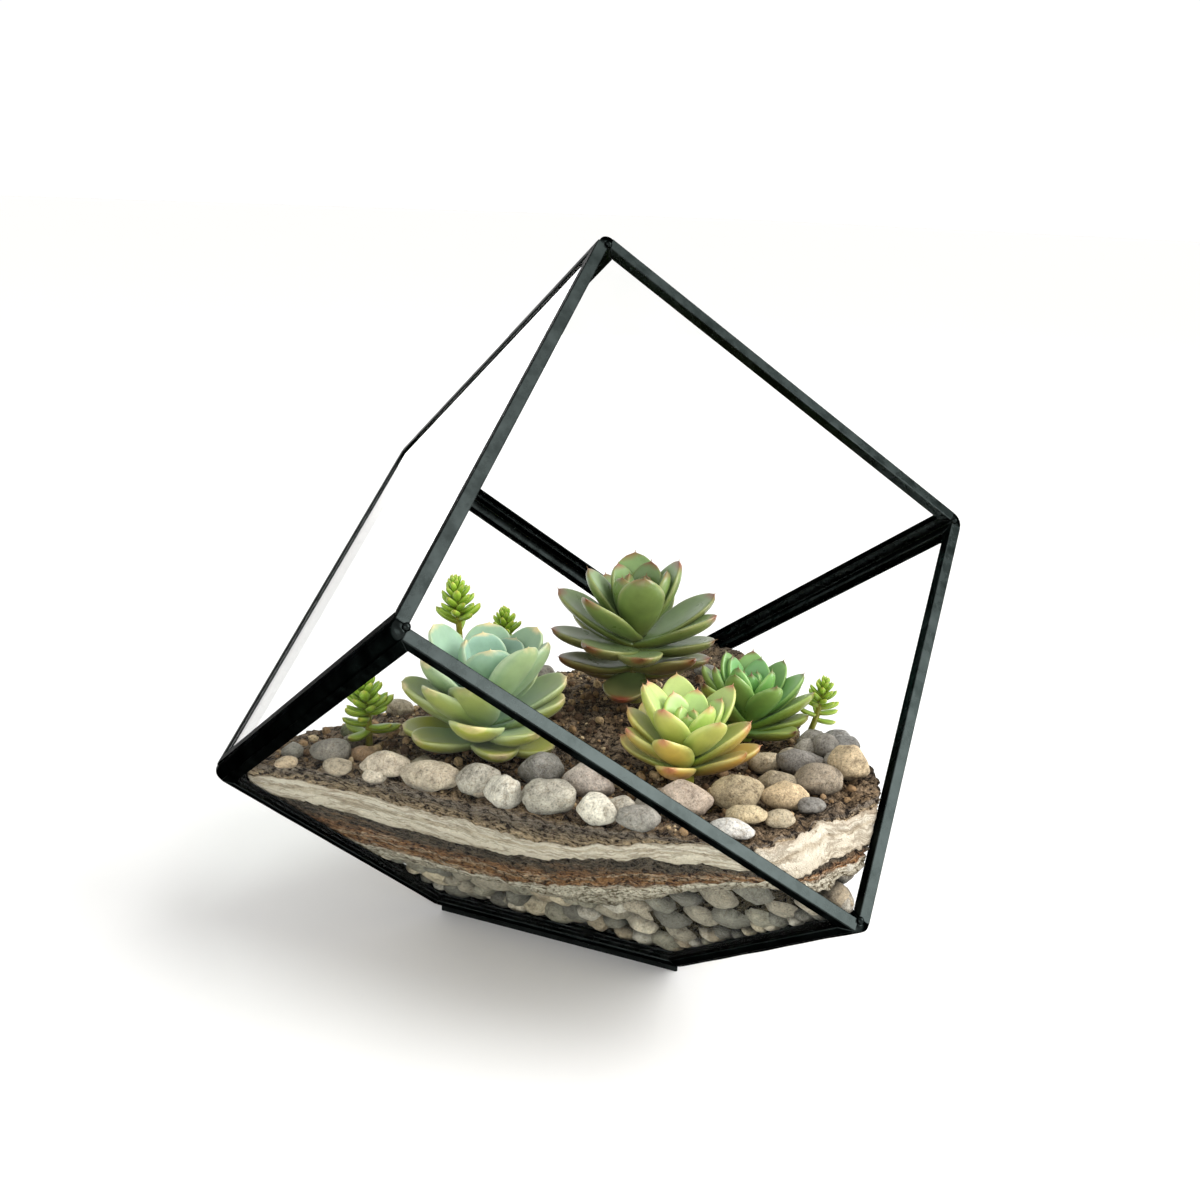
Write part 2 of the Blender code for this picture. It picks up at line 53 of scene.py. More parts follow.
# The cube stands on a cut-off corner with its body diagonal upright, as in the frame's own construction
cube = {"edge": 0.150, "cut": 0.063, "cameDepth": 0.0039, "footBar": 0.0025}
alongU = Vector((1 / math.sqrt(2), 1 / math.sqrt(6), 1 / math.sqrt(3)))
alongV = Vector((1 / math.sqrt(2), -1 / math.sqrt(6), -1 / math.sqrt(3)))
alongW = Vector((0, 2 / math.sqrt(6), -1 / math.sqrt(3)))
baseHeight = cube["cameDepth"] + cube["footBar"]
backShift = cube["cameDepth"] * (alongW.y - alongU.y) / 2
cutOffCorner = Vector((0, -backShift, baseHeight - cube["cut"] / math.sqrt(3)))


def cubePoint(u, v, w):
    return cutOffCorner + cube["edge"] * (u * alongU + (v - 1) * alongV + (w - 1) * alongW)


def linear(hexColour):  # sRGB hex to the linear values that shaders use
    channels = [int(hexColour[i:i + 2], 16) / 255 for i in (1, 3, 5)]
    return (*[c / 12.92 if c <= 0.04045 else ((c + 0.055) / 1.055) ** 2.4 for c in channels], 1)


def addNode(tree, kind, inputs=None, stops=None, **settings):
    # Adds a node; inputs may be values or another node's socket, and stops are for a colour ramp
    made = tree.nodes.new(kind)
    for name, value in settings.items():
        setattr(made, name, value)
    for name, value in (inputs or {}).items():
        if isinstance(value, bpy.types.NodeSocket):
            tree.links.new(value, made.inputs[name])
        else:
            made.inputs[name].default_value = value
    if stops:
        elements = made.color_ramp.elements
        while len(elements) < len(stops):
            elements.new(1)
        for element, (place, colour) in zip(elements, stops):
            element.position = place
            element.color = colour if isinstance(colour, tuple) else linear(colour)
    return made


def newMaterial(name):
    made = bpy.data.materials.new(name)
    made.use_nodes = True
    tree = made.node_tree
    tree.nodes.clear()
    output = addNode(tree, "ShaderNodeOutputMaterial")
    return made, tree, output


def grey(value):
    return (value, value, value, 1)


def smoothStep(value):
    value = np.clip(value, 0, 1)
    return value * value * (3 - 2 * value)


def waves(points, length, count, seed):
    # Smooth random relief between about -1 and 1: plane waves of about this length in random directions
    chance = np.random.default_rng(seed)
    total = np.zeros(points.shape[:-1])
    for _ in range(count):
        direction = chance.normal(size=points.shape[-1])
        direction /= np.linalg.norm(direction)
        number = 2 * math.pi / (length * chance.uniform(0.7, 1.5))
        total += np.sin(points @ direction * number + chance.uniform(0, 2 * math.pi))
    return total / math.sqrt(count)


def tubeFaces(rowCount, around, ends=None):
    # Faces of a tube of closed rows of points, shut by flat ends or by fans onto two end points
    ring = [(index, (index + 1) % around) for index in range(around)]
    faces = []
    for row in range(0, rowCount * around, around):
        nextRow = row + around
        faces.extend((row + index, row + after, nextRow + after, nextRow + index) for index, after in ring)
    last = rowCount * around
    if ends is None:
        return faces + [tuple(range(around))[::-1], tuple(range(last, last + around))]
    for index, after in ring:
        faces.append((after, index, ends[0]))
        faces.append((last + index, last + after, ends[1]))
    return faces


# The values that meshes keep at each point for their materials: kind of attribute, its field, and its size
pointValues = {
    "tint": ("FLOAT_COLOR", "color", 4), "chance": ("FLOAT", "value", 1), "share": ("FLOAT", "value", 1),
    "bed": ("FLOAT_VECTOR", "vector", 3), "leafPlace": ("FLOAT_VECTOR", "vector", 3),
    "leafKind": ("FLOAT_VECTOR", "vector", 3),
}


def addMesh(name, points, faces, material, values=None):
    # A smooth mesh object, with the values at each point that its material reads
    mesh = bpy.data.meshes.new(name)
    mesh.from_pydata(np.asarray(points).tolist(), [], faces)
    mesh.update()
    mesh.shade_smooth()
    for valueName, numbers in (values or {}).items():
        kind, field, _ = pointValues[valueName]
        layer = mesh.attributes.new(valueName, kind, "POINT")
        layer.data.foreach_set(field, np.asarray(numbers, np.float32).ravel())
    mesh.materials.append(material)
    piece = bpy.data.objects.new(name, mesh)
    bpy.context.scene.collection.objects.link(piece)
    return piece


class Heap:
    # Gathers many small shapes into one mesh, with the values at their points that the material reads
    def __init__(self):
        self.points, self.faces, self.values, self.count = [], [], {}, 0

    def add(self, points, faces, **values):
        self.points.append(points)
        self.faces.extend([[index + self.count for index in face] for face in faces])
        for name, value in values.items():
            spread = np.broadcast_to(np.asarray(value, float), (len(points), pointValues[name][2]))
            self.values.setdefault(name, []).append(spread)
        self.count += len(points)

    def piece(self, name, material):
        values = {valueName: np.concatenate(parts) for valueName, parts in self.values.items()}
        return addMesh(name, np.concatenate(self.points), self.faces, material, values)


def place(piece, slot, *nodes):
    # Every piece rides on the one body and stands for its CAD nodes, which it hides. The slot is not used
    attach(piece, "root")
    if nodes:
        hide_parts(*nodes)
    return piece


# The frame: came strips with a black patina, soldered along the edges where two panes meet
cameFinish = {
    "colour": "#1f2322", "worn": "#2f3433", "roughness": 0.27, "mottleMm": 6.0, "grainMm": 0.35,
    "weldMm": 0.005, "bevelMm": 0.28, "bevelSegments": 2, "bevelFrom": 30,  # degrees between two faces
}
solderFinish = {"colour": "#1a1e1d", "worn": "#272c2b", "roughness": 0.26, "mottleMm": 9.0, "grainMm": 0.6}


def blackPatinaMetal(name, finish):
    # Patinated lead-free metal: near-black, satin, with a faint mottle where the patina took unevenly
    made, tree, output = newMaterial(name)
    where = addNode(tree, "ShaderNodeTexCoord").outputs["Object"]
    mottle = addNode(tree, "ShaderNodeTexNoise", {
        "Vector": where, "Scale": 1 / (finish["mottleMm"] * mm), "Detail": 5, "Roughness": 0.6})
    grain = addNode(tree, "ShaderNodeTexNoise", {
        "Vector": where, "Scale": 1 / (finish["grainMm"] * mm), "Detail": 2})
    colour = addNode(tree, "ShaderNodeValToRGB", {"Fac": mottle.outputs["Fac"]}, stops=(
        (0.35, finish["colour"]), (0.75, finish["worn"])))
    gloss = addNode(tree, "ShaderNodeMapRange", {
        "Value": mottle.outputs["Fac"], "From Min": 0.3, "From Max": 0.7,
        "To Min": finish["roughness"] - 0.06, "To Max": finish["roughness"] + 0.08})
    bump = addNode(tree, "ShaderNodeBump", {
        "Height": grain.outputs["Fac"], "Strength": 0.25, "Distance": 0.05 * mm})
    shader = addNode(tree, "ShaderNodeBsdfPrincipled", {
        "Base Color": colour.outputs["Color"], "Metallic": 1.0, "Roughness": gloss.outputs["Result"],
        "Specular Tint": grey(0.06), "Normal": bump.outputs["Normal"]})
    tree.links.new(shader.outputs["BSDF"], output.inputs["Surface"])
    return made


glassFinish = {
    "colour": "#fbfdfc",
    "ior": 1.03,  # less mirror-like than real float glass, to see in clearly
    "mirrorIor": 1.5,  # real float glass, for the side that hides the strips behind it in its reflection
    "mirrorPane": "left_pane",
}


def floatGlass(name, ior):
    # Clear float glass: sharp reflections and a trace of green in its thickness. Light on its way to a matt
    # surface passes straight through, so that what stands inside is lit as in the open
    made, tree, output = newMaterial(name)
    where = addNode(tree, "ShaderNodeTexCoord").outputs["Object"]
    film = addNode(tree, "ShaderNodeTexNoise", {"Vector": where, "Scale": 60, "Detail": 4})
    tint = addNode(tree, "ShaderNodeValToRGB", {"Fac": film.outputs["Fac"]}, stops=(
        (0.3, glassFinish["colour"]), (0.7, "#ffffff")))
    glass = addNode(tree, "ShaderNodeBsdfPrincipled", {
        "Base Color": tint.outputs["Color"], "Roughness": 0.0, "IOR": ior, "Transmission Weight": 1.0})
    clear = addNode(tree, "ShaderNodeBsdfTransparent", {"Color": linear("#fcfefd")})
    ray = addNode(tree, "ShaderNodeLightPath")
    through = addNode(tree, "ShaderNodeMath", {
        0: ray.outputs["Is Shadow Ray"], 1: ray.outputs["Is Diffuse Ray"]}, operation="MAXIMUM")
    mixed = addNode(tree, "ShaderNodeMixShader", {
        0: through.outputs["Value"], 1: glass.outputs["BSDF"], 2: clear.outputs["BSDF"]})
    tree.links.new(mixed.outputs["Shader"], output.inputs["Surface"])
    return made


def finishFrame():
    metal = blackPatinaMetal("black_patina_came", cameFinish)
    glass = floatGlass("clear_float_glass", glassFinish["ior"])
    mirrorGlass = floatGlass("bright_float_glass", glassFinish["mirrorIor"])
    for name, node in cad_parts.items():
        if "_came_" in name:
            finish = metal
            weld = node.modifiers.new("Weld", "WELD")
            weld.merge_threshold = cameFinish["weldMm"] * mm
            bevel = node.modifiers.new("Bevel", "BEVEL")
            bevel.width = cameFinish["bevelMm"] * mm
            bevel.segments = cameFinish["bevelSegments"]
            bevel.limit_method = "ANGLE"
            bevel.angle_limit = math.radians(cameFinish["bevelFrom"])
        elif name.endswith("_pane"):
            finish = mirrorGlass if name == glassFinish["mirrorPane"] else glass
        else:
            continue
        node.data.materials.clear()
        node.data.materials.append(finish)
    print("glass and came finished")


# The cube's corners, which way its sides face, and the edges where two panes are soldered together
cutShare = cube["cut"] / cube["edge"]
corners = {
    "A": (1, 0, 0), "B": (1, 1, 0), "C": (0, 1, 0), "D": (0, 0, 0), "E": (0, 0, 1), "H": (1, 0, 1),
    "I": (1, 1, 1), "F": (0, 1 - cutShare, 1), "G": (0, 1, 1 - cutShare), "K": (cutShare, 1, 1),
}
outwards = {
    "front": -alongU, "top": alongU, "left": -alongV, "right": alongV, "back": alongW, "open": -alongW,
    "base": Vector((0, 0, -1)),
}
closedEdges = {
    "DE": ("front", "left"), "CG": ("front", "right"), "FE": ("front", "back"), "FG": ("front", "base"),
    "AH": ("left", "top"), "EH": ("left", "back"), "BI": ("top", "right"), "HI": ("top", "back"),
    "KI": ("right", "back"), "GK": ("right", "base"), "FK": ("back", "base"),
}
solder = {
    "reachMm": 3.55, "innerMm": 0.16, "sinkMm": 0.2, "stepMm": 3.0, "turns": 9,
    "ripple": 0.035, "rippleMm": (3.1, 5.3, 8.9),  # how much and how fast the bead swells along its way
    "blobMm": 2.3, "openBlob": 0.5, "blobOut": 0.45, "blobRough": 0.04,  # blobs are smaller at open corners
    "beadSeed": 30, "blobSeed": 50,
}


def solderBead(heap, edge, seed):
    # A quarter-round bead in the notch that two panes leave open along their shared edge
    start, end = (cubePoint(*corners[name]) for name in edge)
    first, second = (outwards[name] for name in closedEdges[edge])
    length = (end - start).length
    rowCount = int(length / (solder["stepMm"] * mm)) + 1
    opening = first.angle(second)
    across = (second - first * first.dot(second)).normalized()
    chance = random.Random(seed)
    phases = [chance.uniform(0, 6) for _ in solder["rippleMm"]]
    rows = []
    for row in range(rowCount + 1):
        centre = start.lerp(end, row / rowCount)
        way = row / rowCount * length / mm
        swells = [math.sin(way / wave + phase) for wave, phase in zip(solder["rippleMm"], phases)]
        swell = sum(swells) / len(swells)
        radius = solder["reachMm"] * mm * (1 + solder["ripple"] * swell)
        points = [centre - (first + second) * solder["innerMm"] * mm]
        for turn in np.linspace(0, opening, solder["turns"]):
            points.append(centre + (first * math.cos(turn) + across * math.sin(turn)) * radius)
        points[1] -= across * solder["sinkMm"] * mm
        points[-1] += (across * math.cos(opening) - first * math.sin(opening)) * solder["sinkMm"] * mm
        rows.append(points)
    points = np.array([tuple(point) for row in rows for point in row])
    heap.add(points, tubeFaces(rowCount, len(rows[0])))


def solderBlob(heap, corner, seed):
    # The drop of solder that closes a corner, sitting just outside the glass
    touching = [outwards[side] for edge, sides in closedEdges.items() if corner in edge for side in sides]
    outward = sum(touching, Vector()).normalized()
    size = solder["blobMm"] * (1.0 if len(touching) > 2 else solder["openBlob"])
    points, faces = wornStone([2 * size * mm] * 3, seed, 2, solder["blobRough"], 3)
    centre = cubePoint(*corners[corner]) + outward * solder["blobOut"] * size * mm
    points = points + np.array(centre)
    points[:, 2] = np.maximum(points[:, 2], 0.1 * mm)  # none reaches the surface that the terrarium rests on
    heap.add(points, faces)


def makeSolder():
    heap = Heap()
    for index, edge in enumerate(closedEdges):
        solderBead(heap, edge, solder["beadSeed"] + index)
    for index, corner in enumerate(corners):
        solderBlob(heap, corner, solder["blobSeed"] + index)
    metal = blackPatinaMetal("black_patina_solder", solderFinish)
    place(heap.piece("solder_beads", metal), "black_came")
    print("solder made")


# The fill: layers of stones, cream sand and soil. Each boundary's height over the resting surface, in metres:
# level, rise towards the front corner, where the rise starts and how long it takes, fall at the back,
# wave height and wave length along Y, and the wave's crest
boundaries = {
    "pebbleTop": (0.0254, 0.0400, -0.020, 0.100, 0.000, 0.0012, 0.070, -0.020),
    "lowerSandTop": (0.0305, 0.0370, -0.015, 0.105, 0.000, 0.0014, 0.080, 0.030),
    "soilTop": (0.0480, 0.0225, -0.025, 0.085, 0.001, 0.0020, 0.090, 0.022),
    "upperSandTop": (0.0605, 0.0145, -0.040, 0.060, 0.004, 0.0020, 0.110, 0.005),
    "ground": (0.0725, 0.0055, -0.050, 0.045, 0.012, 0.0000, 0.100, 0.000),
}
fill = {
    "backFallStart": 0.005, "backFallLength": 0.075,
    "rightHeap": 0.0025, "heapX": (0.010, 0.030), "heapY": (0.045, 0.035),  # height, then start and length
    "cliffInset": 0.0024,  # the fill stops this far inside the open face
    "cornerGap": 0.0075,  # and this far from the left corner
    "paneGap": 0.0002,
    "lapMm": 0.2,  # a layer reaches this far into the one below
    "angles": 720, "rowMm": 0.6,
    "raggedMm": 1.25,  # how far a boundary wanders over a few millimetres
    "raggedWaves": ((0.60, 15, 7, 0), (0.28, 5, 7, 20), (0.16, 1.8, 9, 40)),  # share, length, count and seed
    "ledgeFlat": 3.5, "ledgeWaves": 14, "hollow": (0.5, 0.4, 1.25),  # how the cut face crumbles away
    "bottomRings": (0.66, 0.33),
}


def boundaryHeight(name, x, y, ragged=0.0):
    level, rise, riseStart, riseLength, fall, wave, waveLength, crest = boundaries[name]
    height = level + rise * smoothStep((riseStart - y) / riseLength)
    height = height - fall * smoothStep((y - fill["backFallStart"]) / fill["backFallLength"])
    height = height + wave * np.cos(2 * math.pi * (y - crest + 0.25 * x) / waveLength)
    if name == "ground":
        (startX, lengthX), (startY, lengthY) = fill["heapX"], fill["heapY"]
        right, near = smoothStep((x - startX) / lengthX), smoothStep((-startY - y) / lengthY)
        height = height + fill["rightHeap"] * right * near
    if ragged:
        flat = np.stack([x, y], axis=-1)
        seed = sorted(boundaries).index(name)
        height = height + ragged * sum(share * waves(flat, length * mm, count, first + seed)
                                       for share, length, count, first in fill["raggedWaves"])
    return height


def wallPlanes():
    # Outward normal and distance of every plane that bounds the fill
    inside = fill["paneGap"]
    planes = [
        (-alongU, cubePoint(0, 0, 0)), (alongV, cubePoint(0, 1, 0)), (alongW, cubePoint(0, 0, 1)),
        (-alongV, cubePoint(0, 0, 0)), (alongU, cubePoint(1, 0, 0)),
    ]
    planes = [(normal, normal.dot(point) - inside) for normal, point in planes]
    planes.append((-alongW, -alongW.dot(cubePoint(0, 1, 0)) - fill["cliffInset"]))
    leftCorner = cubePoint(0, 0, 1)
    cornerOut = Vector((leftCorner.x, leftCorner.y, 0)).normalized()
    planes.append((cornerOut, cornerOut.dot(leftCorner) - fill["cornerGap"]))
    return planes


def wallReach(directions, z):
    # Distance from the upright axis to the nearest bounding plane, along each direction at each height
    reach = np.full(np.broadcast(directions[..., 0], z).shape, 1.0)
    for normal, distance in wallPlanes():
        facing = directions[..., 0] * normal.x + directions[..., 1] * normal.y
        limit = (distance - normal.z * z) / np.where(facing > 1e-6, facing, 1e-6)
        reach = np.where(facing > 1e-6, np.minimum(reach, limit), reach)
    return reach


def wallHeight(name, directions, ragged):
    # Height at which a boundary meets the wall, along each direction
    z = np.full(len(directions), boundaries[name][0])
    for _ in range(12):
        reach = wallReach(directions, z)
        z = boundaryHeight(name, directions[:, 0] * reach, directions[:, 1] * reach, ragged)
    return z


def layerMesh(plan):
    # One wavy layer: a wall of rows that follows the panes, closed by a top and a bottom
    lower, upper, reliefMm = plan["lower"], plan["upper"], plan["reliefMm"]
    ragged = fill["raggedMm"] * mm
    turns = np.linspace(0, 2 * math.pi, fill["angles"], endpoint=False)
    directions = np.stack([np.cos(turns), np.sin(turns)], axis=-1)
    topZ = wallHeight(upper, directions, ragged)
    if lower:
        bottomZ = wallHeight(lower, directions, ragged) - fill["lapMm"] * mm
    else:
        bottomZ = np.full(len(turns), baseHeight + fill["paneGap"])
    rowCount = max(4, int(np.median(topZ - bottomZ) / (fill["rowMm"] * mm)))
    rows, shares = [], []
    for share in np.linspace(0, 1, rowCount):
        z = bottomZ + (topZ - bottomZ) * share
        reach = wallReach(directions, z)
        points = np.stack([directions[:, 0] * reach, directions[:, 1] * reach, z], axis=-1)
        ledges = waves(points * (1, 1, fill["ledgeFlat"]), 3 * reliefMm * mm, fill["ledgeWaves"], 5)
        ledges = ledges + 0.7 * waves(points, reliefMm * mm, fill["ledgeWaves"], 6)
        middle, swing, limit = fill["hollow"]
        hollow = plan["relief"] * mm * (middle + swing * np.clip(ledges, -limit, limit))
        points[:, :2] -= directions * (hollow[:, None] + plan["inset"] * mm)
        rows.append(points)
        shares.append(np.full(len(turns), share))
    top = rows[-1].copy()
    for ringShare in np.linspace(1, 0, plan["rings"] + 1)[1:-1]:
        points = top.copy()
        points[:, :2] *= ringShare
        points[:, 2] = boundaryHeight(upper, points[:, 0], points[:, 1], ragged)
        rows.append(points)
        shares.append(np.ones(len(turns)))
    bottomRows = []
    for ringShare in fill["bottomRings"]:
        points = rows[0].copy()
        points[:, :2] *= ringShare
        if lower:
            points[:, 2] = boundaryHeight(lower, points[:, 0], points[:, 1], ragged) - fill["lapMm"] * mm
        bottomRows.insert(0, points)
        shares.insert(0, np.zeros(len(turns)))
    rows = bottomRows + rows
    centres = [np.array([[0, 0, row[:, 2].mean()]]) for row in (rows[0], rows[-1])]
    points = np.concatenate(rows + centres)
    faces = tubeFaces(len(rows) - 1, len(turns), (len(points) - 2, len(points) - 1))
    depth = points[:, 2] - boundaryHeight(upper, points[:, 0], points[:, 1], ragged)
    bed = np.stack([points[:, 0], points[:, 1], depth], axis=-1)
    return points, faces, {"share": np.concatenate(shares + [[0.0], [1.0]]), "bed": bed}


# Each layer's place and shape, then its finish; strata are the colours from its bottom to its top
layers = {
    "cream_quartz_sand_upper": {
        "lower": "soilTop", "upper": "upperSandTop", "node": "upper_sand_layer", "slot": "cream_sand",
        "rings": 3, "relief": 0.5, "reliefMm": 2.5, "inset": 0, "shine": 0.2,
        "stretch": 6.0, "streakMm": 24, "grainMm": 0.5, "clumpMm": 2.6, "crackMm": 20.0, "spread": 0.9,
        "grainDark": 0.7, "grainShow": 0.4, "pits": 0.33, "pitColour": "#a99d8b",
        "crackColour": "#8f8372", "crackShow": 0.55, "bump": 0.5,
        "strata": ((0.0, "#86765f"), (0.10, "#b9ae9a"), (0.45, "#c9c0ae"), (0.60, "#a99c86"),
                   (0.70, "#cbc3b2"), (0.90, "#b8ab97"), (1.0, "#86715a")),
    },
    "brown_potting_soil": {
        "lower": "lowerSandTop", "upper": "soilTop", "node": "soil_layer", "slot": "potting_soil",
        "rings": 3, "relief": 1.0, "reliefMm": 2.5, "inset": 0, "shine": 0.2,
        "stretch": 6.0, "streakMm": 22, "grainMm": 0.8, "clumpMm": 2.0, "crackMm": 12.0, "spread": 1.3,
        "grainDark": 0.3, "grainShow": 0.8, "pits": 0.42, "pitColour": "#4a3e33",
        "crackColour": "#5c5147", "crackShow": 0.7, "bump": 1.0,
        "strata": ((0.0, "#bba98c"), (0.14, "#a57850"), (0.28, "#8d6844"), (0.36, "#c4ad8e"),
                   (0.42, "#a0734d"), (0.56, "#77614a"), (0.68, "#665b4c"), (0.85, "#564d41"),
                   (1.0, "#776c5b")),
    },
    "cream_quartz_sand_lower": {
        "lower": "pebbleTop", "upper": "lowerSandTop", "node": "lower_sand_layer", "slot": "cream_sand",
        "rings": 3, "relief": 0.6, "reliefMm": 2.5, "inset": 0, "shine": 0.2,
        "stretch": 5.0, "streakMm": 16, "grainMm": 0.55, "clumpMm": 1.9, "crackMm": 12.0, "spread": 0.9,
        "grainDark": 0.5, "grainShow": 0.6, "pits": 0.42, "pitColour": "#7d7362",
        "crackColour": "#8c8272", "crackShow": 0.7, "bump": 0.8,
        "strata": ((0.0, "#8d8574"), (0.30, "#b9b19d"), (0.75, "#cfc7b3"), (1.0, "#9b7355")),
    },
    "top_grit": {
        "lower": "upperSandTop", "upper": "ground", "node": "top_grit_layer", "slot": "top_soil",
        "rings": 96, "relief": 1.1, "reliefMm": 2.5, "inset": 0, "shine": 0.2,
        "stretch": 4.0, "streakMm": 20, "grainMm": 0.85, "clumpMm": 2.6, "crackMm": 12.0, "spread": 1.0,
        "grainDark": 0.3, "grainShow": 0.85, "pits": 0.43, "pitColour": "#463a2e",
        "crackColour": "#5a4e42", "crackShow": 0.6, "bump": 1.0,
        "strata": ((0.0, "#a89273"), (0.25, "#b39d7d"), (0.50, "#847562"), (0.70, "#8a7e70"),
                   (1.0, "#8b7356")),
    },
    # Painted shade: a dark, matt core without shine, set back behind the drainage stones so that the gaps
    # between them read as shade
    "drainage_shade_core": {
        "lower": None, "upper": "pebbleTop", "node": "drainage_pebble_bed", "slot": "drainage_pebbles",
        "rings": 3, "relief": 1.0, "reliefMm": 4.0, "inset": 5.8, "shine": 0.0,
        "stretch": 2.0, "streakMm": 14, "grainMm": 1.0, "clumpMm": 2.4, "crackMm": 6.0, "spread": 0.8,
        "grainDark": 0.3, "grainShow": 0.8, "pits": 0.45, "pitColour": "#2c2822",
        "crackColour": "#3a352e", "crackShow": 0.6, "bump": 1.0,
        "strata": ((0.0, "#57503f"), (1.0, "#4a4437")),
    },
}


def layeredMaterial(name, plan):
    # Sieved mineral fill: dry and matt, in thin beds that show as streaks, with cracks and single grains
    made, tree, output = newMaterial(name)
    bed = addNode(tree, "ShaderNodeAttribute", attribute_name="bed").outputs["Vector"]
    share = addNode(tree, "ShaderNodeAttribute", attribute_name="share").outputs["Fac"]

    def bedNoise(lengthMm, stretch, detail, roughness, distortion=0.0):
        stretched = addNode(tree, "ShaderNodeMapping", {"Vector": bed, "Scale": (1, 1, stretch)})
        return addNode(tree, "ShaderNodeTexNoise", {
            "Vector": stretched.outputs["Vector"], "Scale": 1 / (lengthMm * mm), "Detail": detail,
            "Roughness": roughness, "Distortion": distortion}).outputs["Fac"]

    def multiplied(colour, other, share=1.0):
        return addNode(tree, "ShaderNodeMix", {0: share, 6: colour, 7: other},
                       data_type="RGBA", blend_type="MULTIPLY").outputs[2]

    streaks = bedNoise(plan["streakMm"], plan["stretch"], 8, 0.68, 0.5)
    cracks = bedNoise(plan["crackMm"], 7, 5, 0.6, 0.25)
    clumps = bedNoise(plan["clumpMm"], 1.6, 6, 0.72)
    grains = addNode(tree, "ShaderNodeTexVoronoi", {
        "Vector": bed, "Scale": 1 / (plan["grainMm"] * mm), "Randomness": 1})
    shifted = addNode(tree, "ShaderNodeMath", {
        0: streaks, 1: plan["spread"], 2: share}, operation="MULTIPLY_ADD")
    base = addNode(tree, "ShaderNodeMapRange", {
        "Value": shifted.outputs["Value"], "From Min": 0.5 * plan["spread"] - 0.12,
        "From Max": 0.5 * plan["spread"] + 1.12})
    strata = addNode(tree, "ShaderNodeValToRGB", {"Fac": base.outputs["Result"]}, stops=plan["strata"])
    grainTone = addNode(tree, "ShaderNodeValToRGB", {"Fac": grains.outputs["Color"]}, stops=(
        (0.0, grey(plan["grainDark"])), (0.4, grey(0.9)), (0.75, grey(1.1)), (1.0, grey(1.8))))
    crackTone = addNode(tree, "ShaderNodeValToRGB", {"Fac": cracks}, stops=(
        (0.455, "#ffffff"), (0.49, plan["crackColour"]), (0.515, plan["crackColour"]), (0.55, "#ffffff")))
    pitTone = addNode(tree, "ShaderNodeValToRGB", {"Fac": clumps}, stops=(
        (plan["pits"], plan["pitColour"]), (plan["pits"] + 0.07, grey(0.95)),
        (0.62, grey(1.0)), (0.72, grey(1.3))))
    colour = multiplied(strata.outputs["Color"], grainTone.outputs["Color"], plan["grainShow"])
    colour = multiplied(colour, crackTone.outputs["Color"], plan["crackShow"])
    colour = multiplied(colour, pitTone.outputs["Color"])
    height = 0.0
    for relief, strength in ((clumps, 1.6), (cracks, 0.8), (grains.outputs["Distance"], -1.1)):
        height = addNode(tree, "ShaderNodeMath", {0: relief, 1: strength, 2: height},
                         operation="MULTIPLY_ADD").outputs["Value"]
    bump = addNode(tree, "ShaderNodeBump", {
        "Height": height, "Strength": plan["bump"], "Distance": 1.4 * plan["grainMm"] * mm})
    shader = addNode(tree, "ShaderNodeBsdfPrincipled", {
        "Base Color": colour, "Roughness": 0.92, "Specular IOR Level": plan["shine"],
        "Normal": bump.outputs["Normal"]})
    tree.links.new(shader.outputs["BSDF"], output.inputs["Surface"])
    return made


def makeLayers():
    for name, plan in layers.items():
        points, faces, values = layerMesh(plan)
        finish = layeredMaterial(name + "_fill", plan)
        place(addMesh(name, points, faces, finish, values), plan["slot"], plan["node"])
    print("fill layers made")


# A worn stone: its slow swell, its fine roughness, and how far its flat faces are worn down
wear = {"swell": 0.08, "fine": 0.3, "grow": 1.05, "flatFrom": (0.76, 0.94), "flatDepth": 0.7}


def wornStone(size, seed, detail=3, rough=0.05, facets=6):
    # Points and faces of a river-worn stone about the origin
    bm = bmesh.new()
    bmesh.ops.create_icosphere(bm, subdivisions=detail, radius=1)
    points = np.array([vert.co for vert in bm.verts])
    faces = [[vert.index for vert in face.verts] for face in bm.faces]
    bm.free()
    swell = 1 + wear["swell"] * waves(points, 2.6, 5, seed) + rough * waves(points, 0.8, 7, seed + 1)
    swell += wear["fine"] * rough * waves(points, 0.25, 12, seed + 2)
    shape = points * swell[:, None] * wear["grow"]
    chance = np.random.default_rng(seed)
    for _ in range(facets):
        direction = chance.normal(size=3)
        direction /= np.linalg.norm(direction)
        over = np.clip(shape @ direction - chance.uniform(*wear["flatFrom"]), 0, None)
        shape -= wear["flatDepth"] * over[:, None] * direction
    return shape * np.array(size) / 2, faces


stoneFinish = {"grainMm": 0.5, "speckMm": 0.6, "cloudMm": 4.0, "veinMm": 8.0, "roughness": 0.68}


